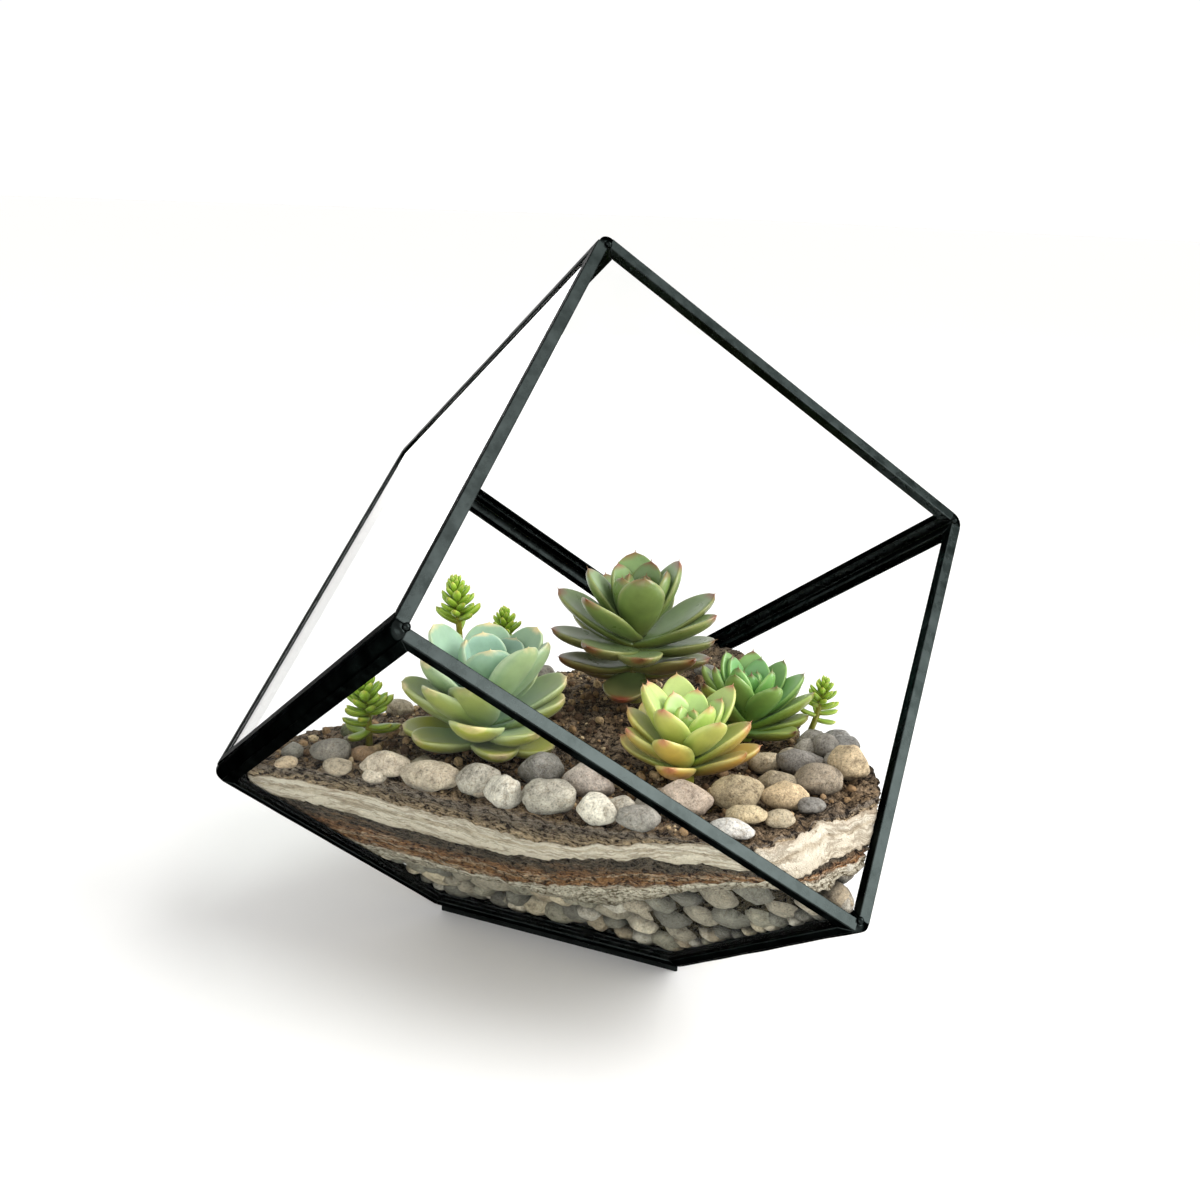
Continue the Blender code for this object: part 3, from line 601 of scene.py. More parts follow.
def riverStone(name):
    # Tumbled river stone: dry, satin, cloudy, peppered with darker and lighter mineral grains
    made, tree, output = newMaterial(name)
    where = addNode(tree, "ShaderNodeTexCoord").outputs["Object"]
    tint = addNode(tree, "ShaderNodeAttribute", attribute_name="tint").outputs["Color"]
    chance = addNode(tree, "ShaderNodeAttribute", attribute_name="chance").outputs["Fac"]
    moved = addNode(tree, "ShaderNodeVectorMath", {0: where, 1: chance}, operation="ADD")
    where = moved.outputs["Vector"]
    clouds = addNode(tree, "ShaderNodeTexNoise", {
        "Vector": where, "Scale": 1 / (stoneFinish["cloudMm"] * mm), "Detail": 8, "Roughness": 0.72})
    specks = addNode(tree, "ShaderNodeTexNoise", {
        "Vector": where, "Scale": 1 / (stoneFinish["speckMm"] * mm), "Detail": 4, "Roughness": 0.7})
    veins = addNode(tree, "ShaderNodeTexNoise", {
        "Vector": where, "Scale": 1 / (stoneFinish["veinMm"] * mm), "Detail": 5, "Distortion": 1.8})
    grains = addNode(tree, "ShaderNodeTexVoronoi", {
        "Vector": where, "Scale": 1 / (stoneFinish["grainMm"] * mm), "Randomness": 1})
    cloudTone = addNode(tree, "ShaderNodeValToRGB", {"Fac": clouds.outputs["Fac"]}, stops=(
        (0.32, "#6d6152"), (0.46, grey(0.80)), (0.56, grey(1.0)), (0.68, grey(1.4))))
    speckTone = addNode(tree, "ShaderNodeValToRGB", {"Fac": specks.outputs["Fac"]}, stops=(
        (0.36, grey(0.30)), (0.45, grey(0.92)), (0.60, grey(1.0)), (0.70, grey(1.5))))
    grainTone = addNode(tree, "ShaderNodeValToRGB", {"Fac": grains.outputs["Color"]}, stops=(
        (0.0, grey(0.55)), (0.35, grey(0.95)), (1.0, grey(1.2))))
    veinTone = addNode(tree, "ShaderNodeValToRGB", {"Fac": veins.outputs["Fac"]}, stops=(
        (0.47, "#ffffff"), (0.495, "#b9a58a"), (0.52, "#ffffff")))
    colour = tint
    for tone, share in ((cloudTone, 0.85), (speckTone, 0.8), (grainTone, 0.55), (veinTone, 0.45)):
        colour = addNode(tree, "ShaderNodeMix", {0: share, 6: colour, 7: tone.outputs["Color"]},
                         data_type="RGBA", blend_type="MULTIPLY").outputs[2]
    height = addNode(tree, "ShaderNodeMath", {
        0: clouds.outputs["Fac"], 1: 3.0, 2: specks.outputs["Fac"]}, operation="MULTIPLY_ADD")
    bump = addNode(tree, "ShaderNodeBump", {
        "Height": height.outputs["Value"], "Strength": 0.8, "Distance": 0.4 * mm})
    shader = addNode(tree, "ShaderNodeBsdfPrincipled", {
        "Base Color": colour, "Roughness": stoneFinish["roughness"], "Specular IOR Level": 0.35,
        "Normal": bump.outputs["Normal"]})
    tree.links.new(shader.outputs["BSDF"], output.inputs["Surface"])
    return made


# The stones that lie on the soil, in the frame's order: length, depth, height in mm, turn in degrees, colour
surfaceStones = (
    (12.5, 9.0, 7.0, -30, "#857f74"), (15.5, 9.0, 7.2, -42, "#c0b29d"), (18.0, 9.5, 8.4, -44, "#b8aa94"),
    (13.5, 9.0, 8.6, -32, "#aea798"), (11.0, 9.0, 8.8, -40, "#d6cfbf"), (13.5, 10.0, 9.0, -45, "#908c84"),
    (16.0, 10.5, 9.5, -40, "#aca596"), (16.0, 10.0, 9.0, -55, "#d3c5b8"), (11.0, 9.5, 8.0, -38, "#e2dac8"),
    (14.5, 10.5, 10.0, -46, "#c0ae9b"), (15.0, 10.0, 9.5, -38, "#b7a685"), (13.0, 8.0, 7.5, -36, "#c9b28d"),
    (14.5, 9.0, 8.5, -30, "#9c8f7b"), (12.5, 9.5, 10.0, -60, "#cbb693"), (14.0, 8.5, 7.5, -48, "#8d8880"),
)
# Smaller stones between them: x, y, length, depth, height in mm, how high it sits, turn, colour
looseStones = (
    (-68, -3, 8, 6.5, 5, 0.0, 20, "#8f8672"), (-66, 44, 10, 8, 6, 0.0, -20, "#6f7253"),
    (-100, 26, 8, 5, 4, 0.0, 10, "#b9a689"), (-92, 38, 9, 6.5, 5, 0.0, 60, "#8f8a7e"),
    (-79, 14, 8, 6, 5, 0.0, -15, "#8a6f52"), (-50, -39, 7, 6, 5, 0.5, 30, "#cdc4b2"),
    (-41, -59, 9, 7.5, 6, 0.0, 10, "#b8ad9c"), (-22, -64, 10, 7, 5, 0.0, -30, "#cbb9a8"),
    (-90, 10, 9, 7, 5, 0.0, -35, "#a99c86"), (-58, -15, 7, 5.5, 4, 0.0, 0, "#7c6f5e"),
    (5.1, -84.4, 13.6, 9.5, 8.0, 0.5, -40, "#a89a80"), (17.6, -66.5, 10.6, 8.0, 6.5, 0.5, -35, "#bfb093"),
    (31.3, -72.1, 9.0, 7.5, 6.5, 1.5, -30, "#a19b8e"), (33.6, -76.5, 9.0, 8.0, 8.0, 1.5, -50, "#8f8a80"),
    (39.3, -80.5, 9.5, 8.0, 7.0, 1.0, -40, "#96938d"), (29.1, -86.3, 9.0, 7.5, 7.0, 0.5, -30, "#a19a8e"),
    (-25.5, -97.0, 12.5, 7.0, 6.0, 0.0, -38, "#dedad1"), (-18.2, -94.4, 11.2, 7.0, 5.5, 1.5, -38, "#c9b792"),
    (-39.6, -74.5, 12.3, 8.5, 8.0, 0.0, -30, "#9c978d"), (-36.6, -62.8, 9.3, 7.0, 6.0, 0.5, -35, "#cfc7b6"),
    (-27.9, -67.3, 11.6, 8.0, 6.0, 0.0, -30, "#aaa294"), (-9.5, -99.5, 9.0, 6.5, 5.0, 0.0, -30, "#bcae92"),
    (4.0, -98.5, 8.5, 6.0, 5.0, 0.0, -20, "#8f8b83"), (45.0, -72.0, 10.0, 8.0, 7.0, 0.5, -20, "#a5a29c"),
    (38.5, -66.5, 9.5, 8.0, 7.0, 1.0, -35, "#918c82"), (24.5, -70.5, 9.0, 7.0, 6.0, 0.5, 20, "#b0a38c"),
    (-8.0, -83.0, 9.0, 7.0, 6.0, 0.0, -30, "#94897a"), (46.5, -60.5, 8.5, 7.0, 5.5, 0.0, 30, "#9d978c"),
    (-86, 24, 8, 6, 5, 0.0, -40, "#b3a58d"), (-74, 30, 9, 7, 5, 0.0, 30, "#857a68"),
    (-84, -2, 8, 6, 5, 0.0, -40, "#c4b8a4"), (-62, -28, 8, 6, 4.5, 0.0, -30, "#a39683"),
    (60, 30, 12, 9, 7, 0.0, 30, "#a39b8d"), (50, 45, 10, 8, 6, 0.0, 70, "#c8bca8"),
    (20, 56, 12, 9, 7, 0.0, 15, "#918b80"), (-40, 62, 11, 8, 6, 0.0, -30, "#b5a78f"),
    (62, 8, 9, 7, 6, 0.0, 100, "#8f8b83"), (0, 66, 9, 7, 5, 0.0, 40, "#c4b8a3"),
)


def dulled(colour, keptShare):
    # The colour at each point, darkened by painted shade to the share of its colour that it keeps
    return np.array(linear(colour)) * np.stack([keptShare, keptShare, keptShare, np.ones(len(keptShare))], axis=-1)


# How stones sit: taller than their CAD pebble by this much, or with this share of the height above the soil.
# footShade is the painted shade at a stone's foot where it sits in the soil: the share of its colour kept
# there, and up to which share of its height the shade goes
stoneSeat = {"extraMm": 0.6, "loose": 0.36, "seeds": (60, 90), "footShade": (0.22, 0.5)}


def footShadedTint(colour, heights):
    # A stone's colour at each point, darkened by painted shade towards its foot, where it sits in the soil
    share = (heights - heights.min()) / np.ptp(heights)
    foot, upTo = stoneSeat["footShade"]
    return dulled(colour, foot + (1 - foot) * smoothStep(share / upTo))


def addStone(heap, centre, size, turn, colour, seed, chance, detail=3):
    # Size is in mm and turn in degrees; chance moves the stone's own pattern
    points, faces = wornStone([value * mm for value in size], seed, detail)
    spin = np.array(Matrix.Rotation(math.radians(turn), 3, "Z"))
    # the tint carries painted shade towards the stone's foot
    heap.add(points @ spin.T + np.array(centre), faces, tint=footShadedTint(colour, points[:, 2]), chance=chance)


def makeSurfaceStones():
    material = riverStone("dry_river_stone")
    for index, (length, depth, height, turn, colour) in enumerate(surfaceStones):
        node = f"surface_pebble_{index + 1:02d}"
        low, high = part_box(node)
        size = (length, depth, height + stoneSeat["extraMm"])
        seed = stoneSeat["seeds"][0] + index
        stone = Heap()
        addStone(stone, (low + high) / 2, size, turn, colour, seed, seed * 0.37, 4)
        place(stone.piece(f"river_stone_{index + 1:02d}", material), "river_pebble", node)
    heap = Heap()
    for index, (x, y, length, depth, height, lift, turn, colour) in enumerate(looseStones):
        ground = float(boundaryHeight("ground", np.float64(x * mm), np.float64(y * mm)))
        centre = (x * mm, y * mm, ground + (height * stoneSeat["loose"] + lift) * mm)
        seed = stoneSeat["seeds"][1] + index
        addStone(heap, centre, (length, depth, height), turn, colour, seed, index * 0.53)
    place(heap.piece("small_loose_stones", material), "river_pebble")
    print("surface stones made")
    return material


crumbs = {
    "count": 1300, "sizeMm": (0.9, 3.6), "seed": 23, "shapeSeed": 600,
    "x": (-0.105, 0.085), "y": (-0.100, 0.085),
    "mostlySmall": 2.5, "stretch": (0.7, 1.3), "rough": 0.16, "roundFromMm": 2, "lift": 0.15,
    "colours": ("#8d7354", "#a78a68", "#6b5540", "#bda27c", "#967a5a", "#d0b994", "#584637"),
}


def soilCrumb(name):
    # Lumps of dry potting soil: crumbly, matt, brown with darker hollows
    made, tree, output = newMaterial(name)
    where = addNode(tree, "ShaderNodeTexCoord").outputs["Object"]
    tint = addNode(tree, "ShaderNodeAttribute", attribute_name="tint").outputs["Color"]
    clods = addNode(tree, "ShaderNodeTexNoise", {
        "Vector": where, "Scale": 1 / (1.1 * mm), "Detail": 6, "Roughness": 0.75})
    tone = addNode(tree, "ShaderNodeValToRGB", {"Fac": clods.outputs["Fac"]}, stops=(
        (0.38, grey(0.35)), (0.52, grey(1.0)), (0.68, grey(1.4))))
    colour = addNode(tree, "ShaderNodeMix", {0: 0.9, 6: tint, 7: tone.outputs["Color"]},
                     data_type="RGBA", blend_type="MULTIPLY")
    bump = addNode(tree, "ShaderNodeBump", {
        "Height": clods.outputs["Fac"], "Strength": 1.0, "Distance": 0.5 * mm})
    shader = addNode(tree, "ShaderNodeBsdfPrincipled", {
        "Base Color": colour.outputs[2], "Roughness": 0.95, "Specular IOR Level": 0.15,
        "Normal": bump.outputs["Normal"]})
    tree.links.new(shader.outputs["BSDF"], output.inputs["Surface"])
    return made


def makeCrumbs():
    chance = np.random.default_rng(crumbs["seed"])
    planes = [(np.array(normal), distance) for normal, distance in wallPlanes()]
    heap = Heap()
    made = 0
    while made < crumbs["count"]:
        x, y = chance.uniform(*crumbs["x"]), chance.uniform(*crumbs["y"])
        z = float(boundaryHeight("ground", np.float64(x), np.float64(y), fill["raggedMm"] * mm))
        point = np.array((x, y, z))
        spread = chance.random() ** crumbs["mostlySmall"]
        size = (crumbs["sizeMm"][0] + np.ptp(crumbs["sizeMm"]) * spread) * mm
        if min(distance - normal @ point for normal, distance in planes) < size:
            continue
        shape = size * chance.uniform(*crumbs["stretch"], 3)
        detail = 2 if size > crumbs["roundFromMm"] * mm else 1
        points, faces = wornStone(shape, crumbs["shapeSeed"] + made, detail, crumbs["rough"])
        colour = crumbs["colours"][int(chance.integers(len(crumbs["colours"])))]
        heap.add(points + point + np.array((0, 0, crumbs["lift"] * size)), faces, tint=linear(colour))
        made += 1
    place(heap.piece("soil_crumbs", soilCrumb("crumbly_dry_soil")), "top_soil")
    print("soil crumbs made")


drainage = {
    "count": 172, "radiusMm": (4.3, 8.6), "steps": 160, "seed": 11, "shapeSeed": 200,
    "shellMm": 11, "startRoom": 0.5, "startTop": 0.3,  # where a stone may start: near a pane, under the top
    "push": 0.35, "sinkMm": 0.01, "overTop": 0.3, "pull": 0.3, "pullMm": 0.8,
    "flatter": 0.85, "foot": 0.8,  # shares of the radius that a stone keeps from the panes and from the base
    "wedgeMm": (2.2, 3.9), "cliffMm": (3.0, 4.6), "wedgeStart": 0.03, "wedgeStep": 0.9, "wedgeIn": 1.05,
    "proudMm": 1.2,  # how far stones stand out of the open face's cliff
    "stretch": (0.95, 1.22), "squash": (0.78, 0.95), "lean": 0.5, "fineFromMm": 4, "baseGapMm": 0.2,
    "touchMm": 1.5, "gapShade": (0.07, 0.95, 0.10, 0.62),  # painted shade in the gaps between stones: darkest share, range, then start and length in radii
    "colours": ("#968e7c", "#7d7a6d", "#b0a590", "#c4b9a3", "#8f8a78", "#bdb095", "#706d62", "#a0927a",
                "#bdb6a6"),
}


def packStones(chance, planes):
    # Centres and radii of round stones, pushed apart until they fill the lowest part behind the panes
    low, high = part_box("drainage_pebble_bed")
    radii = np.sort(chance.uniform(*drainage["radiusMm"], drainage["count"]))[::-1] * mm
    centres = []
    while len(centres) < drainage["count"]:
        point = chance.uniform(np.array(low), np.array(high))
        radius = radii[len(centres)]
        room = min(limit - normal @ point for normal, limit in planes)
        top = float(boundaryHeight("pebbleTop", point[0], point[1])) - point[2]
        inShell = radius * drainage["startRoom"] < room < drainage["shellMm"] * mm
        if inShell and top > radius * drainage["startTop"]:
            centres.append(point)
    centres = np.array(centres)
    for _ in range(drainage["steps"]):
        apart = centres[:, None] - centres[None]
        distance = np.linalg.norm(apart, axis=-1) + np.eye(len(centres))
        wanted = radii[:, None] + radii[None]
        push = np.clip(wanted - distance, 0, None) * (1 - np.eye(len(centres)))
        centres += (apart / distance[..., None] * push[..., None]).sum(axis=1) * drainage["push"]
        centres[:, 2] -= drainage["sinkMm"] * mm
        top = boundaryHeight("pebbleTop", centres[:, 0], centres[:, 1]) - drainage["overTop"] * radii
        centres[:, 2] = np.minimum(centres[:, 2], top)
        room = np.stack([limit - centres @ normal - radii * drainage["flatter"] for normal, limit in planes])
        outward = np.stack([normal for normal, _ in planes])[room.argmin(axis=0)]
        pull = np.clip(room.min(axis=0), 0, drainage["pullMm"] * mm)
        centres += outward * pull[:, None] * drainage["pull"]  # drawn to the nearest pane
        for normal, limit in planes:
            over = centres @ normal + radii * drainage["flatter"] - limit
            centres -= np.clip(over, 0, None)[:, None] * normal
        centres[:, 2] = np.maximum(centres[:, 2], baseHeight + radii * drainage["foot"])
    return list(zip(centres, radii))


def wedgeStones(chance):
    # Centres and radii of the small stones in the narrow wedges along the glass edges
    small = []
    proud = fill["cliffInset"] - drainage["proudMm"] * mm
    wedges = [(edge, closedEdges[edge], drainage["wedgeMm"], 0.0) for edge in ("CG", "FG", "GK", "FE")]
    wedges.append(("CB", ("right", "open"), drainage["cliffMm"], proud))
    for edge, sides, sizes, inset in wedges:
        start, end = (cubePoint(*corners[name]) + alongW * inset for name in edge)
        inward = -sum((outwards[side] for side in sides), Vector())
        step = drainage["wedgeStep"] * sum(sizes) * mm / (end - start).length
        for share in np.arange(drainage["wedgeStart"], 1.0, step):
            radius = chance.uniform(*sizes) * mm
            centre = start.lerp(end, share) + inward * radius * drainage["wedgeIn"]
            if centre.z < boundaryHeight("pebbleTop", centre.x, centre.y) - radius:
                small.append((np.array(centre), radius))
    return small


def gapShadedTint(colour, points, planes, radius):
    # Painted shade: full colour where the stone touches the glass, darker in the gaps behind, where shade
    # falls between stones
    gaps = [(limit - (points @ normal).max(), normal) for normal, limit in planes]
    gaps.sort(key=lambda gap: gap[0])
    touching = gaps[:1] + [gap for gap in gaps[1:] if gap[0] < drainage["touchMm"] * mm]
    depth = np.min([(points @ normal).max() - points @ normal for _, normal in touching], axis=0)
    darkestShare, shadeRange, start, length = drainage["gapShade"]
    return dulled(colour, darkestShare + shadeRange * (1 - smoothStep((depth / radius - start) / length)))


def makeDrainageStones(material):
    chance = np.random.default_rng(drainage["seed"])
    front, right, back, _, _, cliff, leftCorner = wallPlanes()
    cliff = (cliff[0], cliff[1] + drainage["proudMm"] * mm)
    planes = [(np.array(normal), limit) for normal, limit in (front, right, back, cliff, leftCorner)]
    stones = packStones(chance, planes)
    stones += wedgeStones(chance)
    heaps = {"drainage_stones_a": Heap(), "drainage_stones_b": Heap()}
    for index, (centre, radius) in enumerate(stones):
        stretch, squash = chance.uniform(*drainage["stretch"]), chance.uniform(*drainage["squash"])
        size = (2 * radius * stretch, 2 * radius, 2 * radius * squash)
        detail = 3 if radius > drainage["fineFromMm"] * mm else 2
        points, faces = wornStone(size, drainage["shapeSeed"] + index, detail)
        spin = Matrix.Rotation(chance.uniform(0, math.pi), 3, "Z")
        lean = Matrix.Rotation(chance.uniform(-drainage["lean"], drainage["lean"]), 3, "X")
        points = points @ np.array(spin @ lean).T + centre
        for normal, limit in planes * 2:
            points = points - max(0.0, (points @ normal).max() - limit) * normal
        points[:, 2] += max(0.0, baseHeight + drainage["baseGapMm"] * mm - points[:, 2].min())
        colour = drainage["colours"][int(chance.integers(len(drainage["colours"])))]
        # the tint carries painted shade, darker with depth behind the glass
        tint = gapShadedTint(colour, points, planes, radius)
        list(heaps.values())[index % 2].add(points, faces, tint=tint, chance=index * 0.31)
    for name, heap in heaps.items():
        place(heap.piece(name, material), "drainage_pebbles", "drainage_pebble_bed")
    print("drainage stones made:", len(stones))


# Rosettes: where each stands, its leaves' shape, and its whorls from the heart down. A whorl is the height
# above the soil, leaf length and leaf width in mm, and each leaf's turn and rise in degrees
rosettes = {
    "dark": {
        "slot": "olive_leaf", "at": (23.5, 5.0), "thick": 4.6, "base": 0.42, "widest": 0.62, "tip": 0.62,
        "cup": 0.5, "curl": 26, "spike": 1.3,
        "whorls": (
            (27, 19, 10, ((20, 80), (140, 78), (260, 80))),
            (27, 24, 13, ((78, 66), (150, 70), (225, 64), (322, 66))),
            (25, 30, 17, ((5, 56), (110, 60), (185, 59), (258, 50), (315, 36))),
            (22, 33, 15.5, ((76, 26), (102, 32), (160, 30), (205, 32), (256, 30))),
            (19.5, 31, 15.5, ((3, 14), (72, 14), (130, 14), (228, 15), (277, 14), (325, 16))),
            (14, 28, 14, ((45, 20), (85, 9), (165, 8), (210, 8), (290, 10))),
            (11, 21, 15, ((345, -8), (120, 2), (250, 0))),
        ),
    },
    "blue": {
        "slot": "blue_leaf", "at": (-42.5, 0.5), "thick": 5.2, "base": 0.45, "widest": 0.64, "tip": 0.48,
        "cup": 0.5, "curl": 24, "spike": 0.6,
        "whorls": (
            (17, 13, 10, ((90, 78), (200, 80), (320, 80))),
            (16, 22, 15.5, ((14, 66), (140, 54), (200, 78), (262, 72))),
            (13, 31, 18, ((50, 54), (85, 50), (128, 52), (183, 50), (255, 56), (300, 44))),
            (9, 30, 17, ((98, 30), (150, 32), (215, 32), (283, 30), (318, 37), (350, 42))),
            (7, 29, 17, ((40, 16), (78, 26), (170, 12), (235, 12), (357, 24))),
            (4, 26, 16, ((18, 9), (58, 5), (135, 5), (270, 6), (311, 11))),
        ),
    },
    "lime": {
        "slot": "lime_leaf", "at": (-7.0, -56.5), "thick": 4.0, "base": 0.45, "widest": 0.60, "tip": 0.66,
        "cup": 0.5, "curl": 24, "spike": 0.9,
        "whorls": (
            (12, 12, 7, ((0, 84), (120, 80), (240, 80))),
            (11, 19, 10.5, ((45, 63), (110, 56), (160, 60), (215, 66))),
            (9.5, 26, 12.5, ((25, 43), (125, 48), (190, 50), (240, 55), (275, 59), (327, 54))),
            (7, 25, 12.5, ((75, 40), (105, 30), (165, 28), (215, 30), (262, 42), (292, 33), (337, 38))),
            (4.5, 24.5, 12, ((52, 29), (88, 22), (130, 16), (190, 14), (240, 14), (345, 24))),
        ),
    },
    "green": {
        "slot": "green_leaf", "at": (34.0, -42.0), "thick": 3.8, "base": 0.45, "widest": 0.60, "tip": 0.70,
        "cup": 0.5, "curl": 22, "spike": 1.2,
        "whorls": (
            (9, 15, 7.5, ((0, 82), (120, 80), (240, 80))),
            (8, 20, 10, ((315, 70), (60, 68), (150, 66), (230, 68))),
            (6.5, 24, 11.5, ((25, 48), (95, 43), (130, 50), (172, 60), (230, 64), (275, 58), (330, 58))),
            (4.5, 25, 11.5, ((75, 35), (115, 36), (165, 34), (210, 34), (258, 50), (300, 44))),
            (2.5, 24, 11, ((35, 20), (65, 25), (140, 16), (200, 16), (265, 32))),
        ),
    },
}
viewerTurn = -129  # the direction that a turn of 0 points to, in degrees from +X
rosetteForm = {
    "around": 22, "along": 26,  # points round a leaf, and rows along it
    "stemFootMm": 3, "stemMm": (3.4, 2.2), "spikeWidthMm": 0.22, "jitterMm": 0.6, "roll": 6,
    "lengthVary": (0.95, 1.05), "widthVary": (0.94, 1.06), "curlVary": (0.8, 1.2), "ageVary": (0.75, 1.1),
    "wave": 0.05,
}
leafForm = {
    "upper": 0.30, "lower": 0.70,  # shares of the thickness over and under a leaf's middle
    "rootThick": 0.75, "thinsAt": 5, "waves": 2.3, "spikeFrom": 0.9, "rootIn": 0.02,
}


def leafPoints(leaf, around, along):
    # One closed leaf along +X with its face up, and each point's place: along, towards the edge, on its face
    t = np.linspace(0, 1, along + 1)[:, None]
    angle = np.linspace(0, 2 * math.pi, around, endpoint=False)[None]
    widest = leaf["widest"]
    rising = leaf["base"] + (1 - leaf["base"]) * np.sin(math.pi / 2 * np.clip(t / widest, 0, 1))
    closing = np.clip(1 - ((np.clip(t, widest, 1) - widest) / (1 - widest)) ** 2, 0, 1) ** leaf["tip"]
    halfWidth = leaf["width"] / 2 * np.where(t < widest, rising, closing)
    halfWidth = np.maximum(halfWidth, leaf["spikeWidth"] * (t > leafForm["spikeFrom"]))
    thicker = leafForm["rootThick"] + (1 - leafForm["rootThick"]) * t
    thick = leaf["thick"] * np.sqrt(np.clip(1 - t ** leafForm["thinsAt"], 0, 1)) * thicker
    thick = np.maximum(thick, leaf["spikeWidth"])
    side = halfWidth * np.cos(angle)
    onFace = np.where(np.sin(angle) > 0, leafForm["upper"], leafForm["lower"])
    lift = thick * onFace * np.sin(angle) + leaf["cup"] * side ** 2 / leaf["width"]
    ripple = np.sin(leafForm["waves"] * math.pi * t + leaf["phase"])
    lift = lift + leaf["wave"] * halfWidth * ripple * np.cos(angle)
    curl = leaf["curl"]
    bend = curl * (t - 1) / 2
    reach = leaf["length"] * np.sin(curl * t / 2) / (curl / 2)
    turn = curl * (t - 0.5)
    x = reach * np.cos(bend) - lift * np.sin(turn)
    z = reach * np.sin(bend) + lift * np.cos(turn)
    rows = np.stack([x, side, z], axis=-1)
    leafPlace = np.stack(np.broadcast_arrays(t, np.abs(np.cos(angle)), np.sin(angle) / 2 + 0.5), axis=-1)
    root = rows[0].mean(axis=0) - np.array([leafForm["rootIn"] * leaf["length"], 0, 0])
    tip = rows[-1].mean(axis=0) + np.array([math.cos(curl / 2), 0, math.sin(curl / 2)]) * leaf["spike"]
    points = np.vstack([rows.reshape(-1, 3), root, tip])
    leafPlace = np.vstack([leafPlace.reshape(-1, 3), [0, 0, 0.5], [1, 1, 0.5]])
    faces = tubeFaces(along, around, (len(points) - 2, len(points) - 1))
    return points, [face[::-1] for face in faces], leafPlace


stemSkin = (0.0, 0.3, 0.2)  # a stem reads the leaf material at this one leaf place


def addPart(plant, matrix, shape, age, chance):
    # Puts a leaf or a stem in its place on a plant; its material reads its age and a chance tone
    points, faces, leafPlace = shape
    turned = points @ np.array(matrix.to_3x3()).T + np.array(matrix.translation)
    plant.add(turned, faces, leafPlace=leafPlace, leafKind=(age, chance, 0))


stemForm = {"around": 14, "rows": 10, "knobs": 5, "twist": 9, "knobbly": 0.08}


def roundStem(bottom, top, radii, bow=0.0):
    # A slightly bowed round stem between two points, as points, faces and leaf place
    axis = top - bottom
    turn = axis.to_track_quat("Z", "Y").to_matrix()
    points = []
    around, rows = stemForm["around"], stemForm["rows"]
    for row in range(rows + 1):
        share = row / rows
        radius = radii[0] + (radii[1] - radii[0]) * share
        centre = bottom + axis * share + Vector((bow, 0, 0)) * math.sin(math.pi * share)
        for index in range(around):
            angle = 2 * math.pi * index / around
            knob = 1 + stemForm["knobbly"] * math.sin(stemForm["knobs"] * angle + stemForm["twist"] * share)
            points.append(centre + turn @ Vector((math.cos(angle), math.sin(angle), 0)) * radius * knob)
    points = np.array([tuple(point) for point in points])
    return points, tubeFaces(rows, around), stemSkin


leafFinishes = {
    # base, middle and tip along a leaf; then its edge, its inner face, and what an old low leaf turns to
    "dark": {
        "along": ("#5e652a", "#5b7034", "#6f8547"), "tipColour": "#7c3826", "edge": "#a89d68",
        "inner": "#78935e", "aged": "#6e4a2c", "roughness": 0.30, "coat": 0.25, "bloom": 0.1,
        "edgeShow": 0.35, "tipStart": 0.93, "underShow": 0.75, "ageShow": 0.6,
    },
    "blue": {
        "along": ("#809a62", "#76997c", "#82a389"), "tipColour": "#cdb98a", "edge": "#d7dcb2",
        "inner": "#8bac98", "aged": "#94962a", "roughness": 0.42, "coat": 0.08, "bloom": 0.3,
        "edgeShow": 0.3, "tipStart": 0.97, "underShow": 0.95, "ageShow": 0.95,
    },
    "lime": {
        "along": ("#a0b546", "#93b552", "#a5c164"), "tipColour": "#b8705a", "edge": "#d8d28a",
        "inner": "#afcb82", "aged": "#c48d40", "roughness": 0.34, "coat": 0.2, "bloom": 0.12,
        "edgeShow": 0.45, "tipStart": 0.95, "underShow": 0.7, "ageShow": 0.65,
    },
    "green": {
        "along": ("#7d9e38", "#5c9444", "#6ca052"), "tipColour": "#6b2f2b", "edge": "#a5bd6e",
        "inner": "#80b474", "aged": "#a09a38", "roughness": 0.32, "coat": 0.22, "bloom": 0.1,
        "edgeShow": 0.4, "tipStart": 0.97, "underShow": 0.5, "ageShow": 0.6,
    },
    "stonecrop": {
        "along": ("#7f7c28", "#7d9a2a", "#92b43a"), "tipColour": "#b5b04a", "edge": "#b4c25a",
        "inner": "#a0c44a", "aged": "#6f6a28", "roughness": 0.36, "coat": 0.12, "bloom": 0.05,
        "edgeShow": 0.35, "tipStart": 0.88, "underShow": 0.3, "ageShow": 0.7,
    },
}


